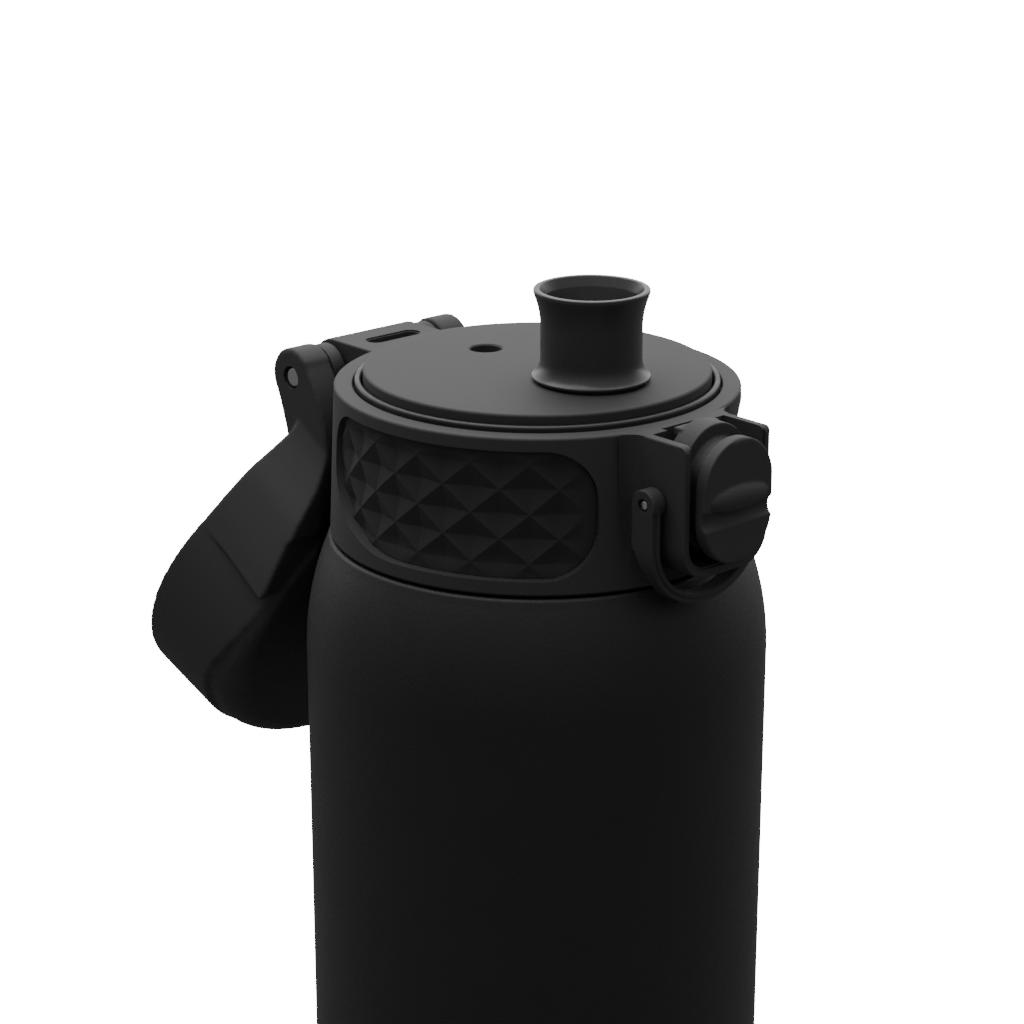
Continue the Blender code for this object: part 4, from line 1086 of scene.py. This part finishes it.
def above_crown(drop):
    """Everything above the cover's top, lowered by drop."""
    across, along = 96, 108
    half = sizes().cover_radius + 2 * mm
    start = -half
    end = PIN.y + 2 * EAR_RADIUS
    bm = bmesh.new()
    sheets = []
    for layer in range(2):
        sheet = []
        for i in range(across + 1):
            x = -half + 2 * half * i / across
            line = []
            for j in range(along + 1):
                y = start + (end - start) * j / along
                z = crown(y) - scoop(x, y) - brow(x, y, drop) - drop if layer == 0 else 3 * COVER_TOP
                line.append(bm.verts.new((x, y, z)))
            sheet.append(line)
        sheets.append(sheet)
        for i in range(across):
            for j in range(along):
                bm.faces.new((sheet[i][j], sheet[i + 1][j], sheet[i + 1][j + 1], sheet[i][j + 1]))
    border = [(i, 0) for i in range(across)] + [(across, j) for j in range(along)]
    border += [(i, along) for i in range(across, 0, -1)] + [(0, j) for j in range(along, 0, -1)]
    low, high = sheets
    for first, second in zip(border, border[1:] + border[:1]):
        corners = [low[first[0]][first[1]], low[second[0]][second[1]]]
        corners += [high[second[0]][second[1]], high[first[0]][first[1]]]
        bm.faces.new(corners)
    bmesh.ops.triangulate(bm, faces=bm.faces)
    return closed(bm)


def cup(radius, foot, top):
    """A tapered plug of the cover's round part."""
    slope = COVER_TAPER / COVER_TOP
    low = radius - slope * foot
    high = radius - slope * top
    return turned([(0.0, foot), (low, foot), (high, top), (0.0, top)])


def hinge_arm(side):
    """One arm, from the cover's side wall back to the ear round the pin."""
    start, end = sorted((side * EAR_INNER, side * EAR_OUTER))
    lower = [(20.0, 1.0), (29.8, 0.3), (31.4, -1.3), (34.6, -5.2)]
    outline = [(y * mm, z * mm) for y, z in lower]
    outline += arc((PIN.y, PIN.z), EAR_RADIUS, 205, 380, 36)
    outline += [(36.5 * mm, 12.0 * mm), (20.0 * mm, 24.0 * mm)]
    return prism(outline, "X", start, end)


def web():
    """The +X corner piece that carries the round wall back into the hinge arm."""
    edge = [(14.5, 29.0), (18.8, 27.6), (23.2, 25.6), (26.8, 23.6), (30.0, 21.0), (33.2, 18.6), (35.9, 17.1)]
    start, end = edge[0][0], edge[-1][0]
    plan = [(12.2 * mm, 20 * mm)]
    for step in range(33):
        y = start + (end - start) * step / 32
        plan.append((smooth_through(edge, y) * mm, y * mm))
    plan.append((12.2 * mm, end * mm))
    return prism(plan, "Z", COVER_LIFT + 0.1 * mm, COVER_TOP + 1.5 * mm)


def cover_shell():
    """Outer shell of the flip cover with its arms, saddle and catch tongue."""
    rim = sizes().cover_radius + COVER_TAPER / COVER_TOP * COVER_LIFT
    outside = join(cup(rim, COVER_LIFT, COVER_TOP + 2 * mm), hinge_arm(-1), hinge_arm(1))
    outside = join(outside, mirrored(web()), web())
    outside = cut(outside, above_crown(0.0))
    inside = cut(cup(rim - COVER_WALL, -COVER_WALL, COVER_TOP + 2 * mm), above_crown(COVER_WALL))
    front = rim - COVER_WALL / 2
    tongue_face = -front - 1.2 * mm
    tongue = box((-TONGUE_HALF, tongue_face, -TONGUE_DROP), (TONGUE_HALF, -front + 0.2 * mm, 4 * mm))
    barb_top = -TONGUE_DROP + 1.3 * mm
    barb = box((-TONGUE_HALF, tongue_face - 1.0 * mm, -TONGUE_DROP), (TONGUE_HALF, -front, barb_top))
    reach = collar_radius(-TONGUE_DROP) + GAP
    sweep = prism(circle((0.0, 0.0), reach, sizes().sides), "Z", -2 * TONGUE_DROP, 0.2 * mm)
    body = cut(join(cut(outside, inside), tongue, barb), sweep)
    body = melted(body, 0.36 * mm, 5)
    body = cut(body, rod((PIN.y, PIN.z), PIN_RADIUS + GAP, -2 * EAR_OUTER, 2 * EAR_OUTER))
    place("cover_hood", opened(body), lid_plastic(), "cover", ["cover_shell"], "lid_plastic", smooth=50)


def cover_liner():
    """Inner cup with the ring that holds the spout seal."""
    rim = sizes().cover_radius + COVER_TAPER / COVER_TOP * COVER_LIFT
    outer = rim - COVER_WALL - GAP
    drop = COVER_WALL + GAP
    foot = COVER_LIFT + 1.5 * mm
    body = cut(cup(outer, foot, COVER_TOP + 2 * mm), above_crown(drop))
    hollow = cup(outer - LINER_WALL, -LINER_WALL, COVER_TOP + 2 * mm)
    body = cut(body, cut(hollow, above_crown(drop + LINER_WALL)))
    inner = LIP_RADIUS + 0.6 * mm + GAP
    top = COVER_TOP - drop - LINER_WALL / 2
    low = SPOUT_TOP + GAP
    soft = 0.3 * mm
    ring = [(inner, top), (inner + 1.2 * mm, top), (inner + 1.2 * mm, low, soft), (inner, low, soft)]
    body = join(body, turned(rounded(ring), 96, (0.0, -PORT_OFFSET)))
    place("cover_inner_cup", opened(body), lid_plastic(), "cover", ["cover_liner"], "lid_plastic", smooth=40)


def cover_seals():
    """Spout pad with its plug, and the post that closes the vent."""
    liner = COVER_WALL + LINER_WALL + 2 * GAP
    ceiling = crown(-PORT_OFFSET) - liner
    low = SPOUT_TOP + GAP
    pad = LIP_RADIUS + 0.6 * mm
    plug = 5.0 * mm
    soft = 0.25 * mm
    outline = [(0.0, ceiling), (pad, ceiling), (pad, low, soft), (plug, low, 0.2 * mm)]
    outline += [(plug - 0.5 * mm, low - 1.1 * mm, 0.5 * mm), (0.0, low - 1.1 * mm)]
    pad_mesh = turned(rounded(outline), 96, (0.0, -PORT_OFFSET))
    place("spout_pad", opened(pad_mesh), seal_silicone(), "cover", ["spout_seal"], "seal_rubber")
    stem = VENT_RADIUS - 0.7 * mm
    lowest = PORT_OFFSET + stem + 1.0 * mm
    roof = crown(lowest) - scoop(0.0, lowest) - liner
    tip = deck_top(PORT_OFFSET) + GAP
    cap = VENT_RADIUS + 1.2 * mm
    post = [(0.0, roof), (stem + 1.0 * mm, roof), (stem + 0.6 * mm, roof - 1.5 * mm, 0.5 * mm)]
    post += [(stem, tip + 1.5 * mm, 0.6 * mm), (cap, tip + 1.2 * mm, 0.3 * mm)]
    post += [(cap, tip, 0.3 * mm), (0.0, tip)]
    post_mesh = turned(rounded(post), 64, (0.0, PORT_OFFSET))
    place("vent_post", opened(post_mesh), seal_silicone(), "cover", ["vent_seal"], "seal_rubber")


# ---------------------------------------------------------------- latch

BUTTON_HALF = 7.0 * mm
BUTTON_TOP = 0.3 * mm
BUTTON_HEIGHT = 18.9 * mm
BUTTON_PLATE = 2.1 * mm
DRUM_HALF = 6.6 * mm
DRUM_TOP = 1.5 * mm
DRUM_BACK = 34.6 * mm
HOOK_REACH = 1.1 * mm
COIL_Z = -16.4 * mm
LOOP_PIN_RADIUS = 0.7 * mm
LOOP_HALF = 10.0 * mm
LOOP_BAND = 1.6 * mm
LOOP_EYE = 2.3 * mm
LOOP_LEG = 6.8 * mm
LOOP_BOW = 8.5 * mm
LOOP_REAR = 34.9 * mm


def oval(half, top, height):
    """An upright stadium (x, z)."""
    return arc((0.0, top - half), half, 0, 180, 32) + arc((0.0, top - height + half), half, 180, 360, 32)


def bulge(centre, reach):
    """An ellipsoid."""
    bm = bmesh.new()
    bmesh.ops.create_uvsphere(bm, u_segments=64, v_segments=32, radius=1.0)
    bmesh.ops.scale(bm, vec=reach, verts=bm.verts)
    bmesh.ops.translate(bm, vec=centre, verts=bm.verts)
    return closed(bm)


def release_button():
    """Rocking button: face plate with its thumb ledge and groove, drum and hook."""
    back = -LATCH_FRONT - GAP
    face = back - BUTTON_PLATE
    low = BUTTON_TOP - BUTTON_HEIGHT
    profile = [(back, BUTTON_TOP), (face, BUTTON_TOP, 0.6 * mm), (face, low, 0.6 * mm), (back, low)]
    plate = combine(
        prism(rounded(profile), "X", -2 * BUTTON_HALF, 2 * BUTTON_HALF),
        prism(oval(BUTTON_HALF, BUTTON_TOP, BUTTON_HEIGHT), "Y", 2 * face, 0.0),
        "INTERSECT",
    )
    plate = cut(plate, rod((face - 1.0 * mm, -11.1 * mm), 1.75 * mm, -2 * BUTTON_HALF, 2 * BUTTON_HALF))
    plate = join(plate, bulge((0.0, face + 0.6 * mm, -8.6 * mm), (6.6 * mm, 1.6 * mm, 2.1 * mm)))
    front = -LATCH_FRONT + 2.4 * mm
    drum_foot = -LATCH_DEPTH + LATCH_FLOOR + 1.2 * mm
    tall = DRUM_TOP - drum_foot
    drum = prism(oval(DRUM_HALF, DRUM_TOP, tall), "Y", front, -DRUM_BACK)
    inner = oval(DRUM_HALF - 0.9 * mm, DRUM_TOP - 2.2 * mm, tall - 2.6 * mm)
    neck = prism(inner, "Y", back - 1 * mm, front + 1 * mm)
    hook_foot = -TONGUE_DROP + 1.3 * mm + GAP
    hook_back = -DRUM_BACK + HOOK_REACH
    hook = box((-TONGUE_HALF, -DRUM_BACK - 0.5 * mm, hook_foot), (TONGUE_HALF, hook_back, DRUM_TOP - 0.8 * mm))
    body = melted(join(drum, neck, plate, hook), 0.19 * mm, 4)
    bore = rod((BUTTON_AXIS.y, BUTTON_AXIS.z), 1.2 * mm, -2 * BUTTON_HALF, 2 * BUTTON_HALF)
    pocket = prism(circle((0.0, COIL_Z), 2.2 * mm), "Y", -LATCH_FRONT + 2.5 * mm, 0.0)
    body = cut(body, bore, pocket)
    place("thumb_button", body, lid_plastic(), "button", ["release_button"], "lid_plastic", smooth=50)


def lock_loop():
    """U-shaped loop with a raised inner rim and two eyes."""
    inner = LOOP_HALF
    outer = inner + LOOP_BAND
    pivot_y, pivot_z = LOOP_AXIS.y, LOOP_AXIS.z
    bend_z = pivot_z - LOOP_LEG

    def bow(wide, start, end):
        high = wide - LOOP_HALF + LOOP_BOW
        return [(wide * a, bend_z + high * b) for a, b in arc((0.0, 0.0), 1.0, start, end, 56)]

    def band(near, far, front, rear):
        outline = [(-far, pivot_z)] + bow(far, 180, 360) + [(far, pivot_z)]
        outline += [(near, pivot_z)] + bow(near, 360, 180) + [(-near, pivot_z)]
        return prism(outline, "Y", front, rear, 0.22 * mm)

    body = join(
        band(inner, outer, pivot_y - LOOP_EYE + 0.3 * mm, pivot_y + LOOP_EYE),
        band(inner + 0.02 * mm, inner + 0.75 * mm, pivot_y - LOOP_EYE, pivot_y),
    )
    low = bend_z - outer - 1 * mm
    relief = [(-LOOP_REAR, low), (-LOOP_REAR, bend_z - 4 * mm), (pivot_y + LOOP_EYE, bend_z + 1 * mm)]
    relief += [(0.0, bend_z + 1 * mm), (0.0, low)]
    body = cut(body, prism(rounded(relief), "X", -2 * outer, 2 * outer))
    for side in (-1, 1):
        start, end = sorted((side * (LATCH_HALF + GAP), side * outer))
        body = join(body, rod((pivot_y, pivot_z), LOOP_EYE, start, end, 0.25 * mm, 56))
    body = cut(body, rod((pivot_y, pivot_z), LOOP_PIN_RADIUS + GAP, -2 * outer, 2 * outer))
    place("swing_loop", body, lid_plastic(), "loop", ["lock_loop"], "lid_plastic")


# ---------------------------------------------------------------- pins and springs


def pin_between(node, axis, radius, soft):
    """A chamfered pin with the place and length of its CAD node."""
    low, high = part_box(node)
    return rod((axis.y, axis.z), radius, low.x, high.x, soft)


def pins():
    """Hinge pin, button pin and the loop's half pins."""
    steel = turned_steel()
    for name, node, axis, radius, soft in (
        ("hinge_rod", "hinge_pin", PIN, PIN_RADIUS, 0.3 * mm),
        ("button_rod", "button_pin", BUTTON_AXIS, 0.9 * mm, 0.15 * mm),
        ("loop_stud_near", "loop_pin_left", LOOP_AXIS, LOOP_PIN_RADIUS, 0.15 * mm),
        ("loop_stud_far", "loop_pin_right", LOOP_AXIS, LOOP_PIN_RADIUS, 0.15 * mm),
    ):
        place(name, pin_between(node, axis, radius, soft), steel, "lid", [node], "bare_steel")


def coil_tree():
    """Geometry Nodes tree that winds a spring of round wire along Z."""
    tree = bpy.data.node_groups.new("wound_spring", "GeometryNodeTree")
    number = "NodeSocketFloat"
    tree_inputs(
        tree,
        (
            ("Geometry", "NodeSocketGeometry"),
            ("Turns", number),
            ("Coil Radius", number),
            ("Length", number),
            ("Wire Radius", number),
            ("Material", "NodeSocketMaterial"),
        ),
    )
    nodes, links = tree.nodes, tree.links
    given = nodes.new("NodeGroupInput").outputs
    spiral = nodes.new("GeometryNodeCurveSpiral")
    spiral.inputs["Resolution"].default_value = 40
    links.new(given["Turns"], spiral.inputs["Rotations"])
    links.new(given["Coil Radius"], spiral.inputs["Start Radius"])
    links.new(given["Coil Radius"], spiral.inputs["End Radius"])
    links.new(given["Length"], spiral.inputs["Height"])
    wire = nodes.new("GeometryNodeCurvePrimitiveCircle")
    wire.inputs["Resolution"].default_value = 16
    links.new(given["Wire Radius"], wire.inputs["Radius"])
    sweep = nodes.new("GeometryNodeCurveToMesh")
    sweep.inputs["Fill Caps"].default_value = True
    links.new(spiral.outputs[0], sweep.inputs["Curve"])
    links.new(wire.outputs[0], sweep.inputs["Profile Curve"])
    end_tree(tree, sweep.outputs[0], given["Material"])
    return tree


def springs():
    """The hinge's torsion spring along X and the button's compression spring along Y."""
    tree = coil_tree()
    for name, node, along, turns, wire in (
        ("hinge_coil", "hinge_spring", Vector((1, 0, 0)), 4, 0.4 * mm),
        ("button_coil", "button_spring", Vector((0, 1, 0)), 5, 0.25 * mm),
    ):
        low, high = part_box(node)
        size = high - low
        length = size.dot(along)
        values = {
            "Turns": float(turns),
            "Coil Radius": size.z / 2 - wire,
            "Length": length - 2 * wire,
            "Wire Radius": wire,
            "Material": spring_steel(),
        }
        wound = grown(bmesh.new(), tree, values)
        centre = (low + high) / 2
        start = centre - along * (length / 2 - wire)
        turn = Vector((0, 0, 1)).rotation_difference(along).to_matrix().to_4x4()
        bmesh.ops.transform(wound, matrix=Matrix.Translation(start) @ turn, verts=wound.verts)
        place(name, wound, spring_steel(), "lid", [node], "bare_steel", lift=0.0)


def carried_over():
    """Finishes of the CAD nodes that stay visible."""
    recoat(satin_steel(), "inner_flask")
    recoat(sintered_metal(), "getter_disc")
    recoat(seal_silicone(), "neck_gasket", "vent_valve")
    recoat(lid_plastic(), "lid_plug")


# ---------------------------------------------------------------- stage

CAMERA_AZIMUTH = math.radians(-42.5)
BACKDROP_WHITE = 18.0


def floor_paper():
    """Matte paper that is white to the camera and dark to the light that bounces about."""
    made = finish("floor_paper", (0.1, 0.1, 0.1), (0.85, 0.95), 900, 6, relief=0.05, uneven=0.01)
    tree = made.node_tree
    out = next(node for node in tree.nodes if node.type == "OUTPUT_MATERIAL")
    matte = out.inputs["Surface"].links[0].from_socket
    tree.links.new(white_to_camera(tree, matte, "ShaderNodeEmission"), out.inputs["Surface"])
    return made


def white_to_camera(tree, shader, glow_type):
    """Mix a shader with plain white, which only camera rays see."""
    path = tree.nodes.new("ShaderNodeLightPath")
    glow = tree.nodes.new(glow_type)
    glow.inputs["Color"].default_value = (1.0, 1.0, 1.0, 1.0)
    glow.inputs["Strength"].default_value = BACKDROP_WHITE
    mix = tree.nodes.new("ShaderNodeMixShader")
    tree.links.new(path.outputs["Is Camera Ray"], mix.inputs[0])
    tree.links.new(shader, mix.inputs[1])
    tree.links.new(glow.outputs[0], mix.inputs[2])
    return mix.outputs[0]


def studio_world():
    """Bright behind the object, dark in front and half lit from above."""
    world = bpy.data.worlds.new("studio")
    world.use_nodes = True
    tree = world.node_tree
    tree.nodes.clear()
    nodes, links = tree.nodes, tree.links
    toward = nodes.new("ShaderNodeTexCoord").outputs["Generated"]
    behind = nodes.new("ShaderNodeVectorMath")
    behind.operation = "DOT_PRODUCT"
    behind.inputs[1].default_value = (-math.sin(CAMERA_AZIMUTH), math.cos(CAMERA_AZIMUTH), 0.0)
    links.new(toward, behind.inputs[0])
    parts = nodes.new("ShaderNodeSeparateXYZ")
    links.new(toward, parts.inputs[0])
    total = None
    for value, low, high, reach in (
        (behind.outputs["Value"], 0.0, 0.95, 1.7),
        (parts.outputs[2], 0.0, 1.0, 0.7),
    ):
        ramp = nodes.new("ShaderNodeMapRange")
        ramp.interpolation_type = "SMOOTHSTEP"
        ramp.inputs["From Min"].default_value = low
        ramp.inputs["From Max"].default_value = high
        ramp.inputs["To Max"].default_value = reach
        links.new(value, ramp.inputs["Value"])
        total = ramp.outputs[0] if total is None else math_node(tree, "ADD", total, ramp.outputs[0])
    light = nodes.new("ShaderNodeBackground")
    links.new(math_node(tree, "ADD", total, 0.2), light.inputs["Strength"])
    out = nodes.new("ShaderNodeOutputWorld")
    links.new(white_to_camera(tree, light.outputs[0], "ShaderNodeBackground"), out.inputs["Surface"])
    bpy.context.scene.world = world


def lamp(name, place_at, aim, width, height, power):
    """A soft area light pointed at a spot."""
    data = bpy.data.lights.new(name, "AREA")
    data.shape = "RECTANGLE"
    data.size = width
    data.size_y = height
    data.energy = power
    item = bpy.data.objects.new(name, data)
    item.location = place_at
    item.rotation_euler = (Vector(aim) - Vector(place_at)).to_track_quat("-Z", "Y").to_euler()
    bpy.context.scene.collection.objects.link(item)


def stage():
    """Floor, lights, world and camera."""
    reach = 6.0
    bm = bmesh.new()
    corners = [(-reach, -reach), (reach, -reach), (reach, reach), (-reach, reach)]
    bm.faces.new([bm.verts.new((x, y, 0.0)) for x, y in corners])
    mesh = bpy.data.meshes.new("floor")
    bm.to_mesh(mesh)
    bm.free()
    mesh.materials.append(floor_paper())
    ground = bpy.data.objects.new("floor", mesh)
    bpy.context.scene.collection.objects.link(ground)
    target = (0.0, 0.0, LID_Z)
    lamp("overhead_softbox", (0.0, 0.25, 1.1), target, 1.3, 1.1, 10.0)
    studio_world()
    camera()


def camera():
    """Camera above the front left, looking down on the lid."""
    azimuth = CAMERA_AZIMUTH
    distance = 405.1 * mm
    height = LID_Z + 114.3 * mm
    data = bpy.data.cameras.new("camera")
    data.sensor_width = 36.0
    data.lens = 95.77
    data.clip_start = 0.01
    item = bpy.data.objects.new("camera", data)
    item.location = (distance * math.sin(azimuth), -distance * math.cos(azimuth), height)
    item.rotation_euler = (math.radians(90 - 18.545), 0.0, azimuth + math.radians(0.553))
    bpy.context.scene.collection.objects.link(item)
    bpy.context.scene.camera = item


# ---------------------------------------------------------------- operators and panel


class BOTTLE_OT_body(bpy.types.Operator):
    """Make the coated wall, the base and the finishes of the inner flask"""

    bl_idname = "bottle.body"
    bl_label = "Bottle body"

    def execute(self, context):
        bottle_wall()
        base_foot()
        carried_over()
        return {"FINISHED"}


class BOTTLE_OT_deck(bpy.types.Operator):
    """Make the deck with its silicone bead"""

    bl_idname = "bottle.deck"
    bl_label = "Lid deck"

    def execute(self, context):
        lid_deck()
        deck_bead()
        return {"FINISHED"}


class BOTTLE_OT_spout(bpy.types.Operator):
    """Make the drinking spout"""

    bl_idname = "bottle.spout"
    bl_label = "Spout"

    def execute(self, context):
        drinking_spout()
        return {"FINISHED"}


class BOTTLE_OT_collar(bpy.types.Operator):
    """Make the collar with its latch housing, hinge bridge and strap slot"""

    bl_idname = "bottle.collar"
    bl_label = "Collar"

    def execute(self, context):
        collar()
        return {"FINISHED"}


class BOTTLE_OT_grips(bpy.types.Operator):
    """Make the two diamond-pressed grip panels"""

    bl_idname = "bottle.grips"
    bl_label = "Grip panels"

    def execute(self, context):
        grip_panels()
        return {"FINISHED"}


class BOTTLE_OT_cover(bpy.types.Operator):
    """Make the flip cover with its inner cup and seals"""

    bl_idname = "bottle.cover"
    bl_label = "Flip cover"

    def execute(self, context):
        cover_shell()
        cover_liner()
        cover_seals()
        return {"FINISHED"}


class BOTTLE_OT_latch(bpy.types.Operator):
    """Make the release button and the lock loop"""

    bl_idname = "bottle.latch"
    bl_label = "Latch"

    def execute(self, context):
        release_button()
        lock_loop()
        return {"FINISHED"}


class BOTTLE_OT_hardware(bpy.types.Operator):
    """Make the steel pins and springs"""

    bl_idname = "bottle.hardware"
    bl_label = "Pins and springs"

    def execute(self, context):
        pins()
        springs()
        return {"FINISHED"}


class BOTTLE_OT_stage(bpy.types.Operator):
    """Set up the floor, lights, world and camera"""

    bl_idname = "bottle.stage"
    bl_label = "Stage"

    def execute(self, context):
        stage()
        return {"FINISHED"}


OPERATORS = (
    BOTTLE_OT_body,
    BOTTLE_OT_deck,
    BOTTLE_OT_spout,
    BOTTLE_OT_collar,
    BOTTLE_OT_grips,
    BOTTLE_OT_cover,
    BOTTLE_OT_latch,
    BOTTLE_OT_hardware,
    BOTTLE_OT_stage,
)


class BOTTLE_PT_panel(bpy.types.Panel):
    """Sizes, colours and steps of the bottle"""

    bl_idname = "BOTTLE_PT_panel"
    bl_label = "Bottle"
    bl_space_type = "VIEW_3D"
    bl_region_type = "UI"
    bl_category = "Bottle"

    def draw(self, context):
        for settings in (context.scene.bottle_sizes, context.scene.bottle_finish):
            for name in settings.bl_rna.properties.keys():
                if name not in {"rna_type", "name"}:
                    self.layout.prop(settings, name)
        for operator in OPERATORS:
            self.layout.operator(operator.bl_idname)


CLASSES = (BottleSizes, BottleFinish, *OPERATORS, BOTTLE_PT_panel)


def register():
    for made in CLASSES:
        bpy.utils.register_class(made)
    bpy.types.Scene.bottle_sizes = bpy.props.PointerProperty(type=BottleSizes)
    bpy.types.Scene.bottle_finish = bpy.props.PointerProperty(type=BottleFinish)


def unregister():
    del bpy.types.Scene.bottle_finish
    del bpy.types.Scene.bottle_sizes
    for made in reversed(CLASSES):
        bpy.utils.unregister_class(made)


def main():
    register()
    bpy.ops.bottle.body()
    bpy.ops.bottle.deck()
    bpy.ops.bottle.spout()
    bpy.ops.bottle.collar()
    bpy.ops.bottle.grips()
    bpy.ops.bottle.cover()
    bpy.ops.bottle.latch()
    bpy.ops.bottle.hardware()
    bpy.ops.bottle.stage()


if __name__ == "__main__":
    main()
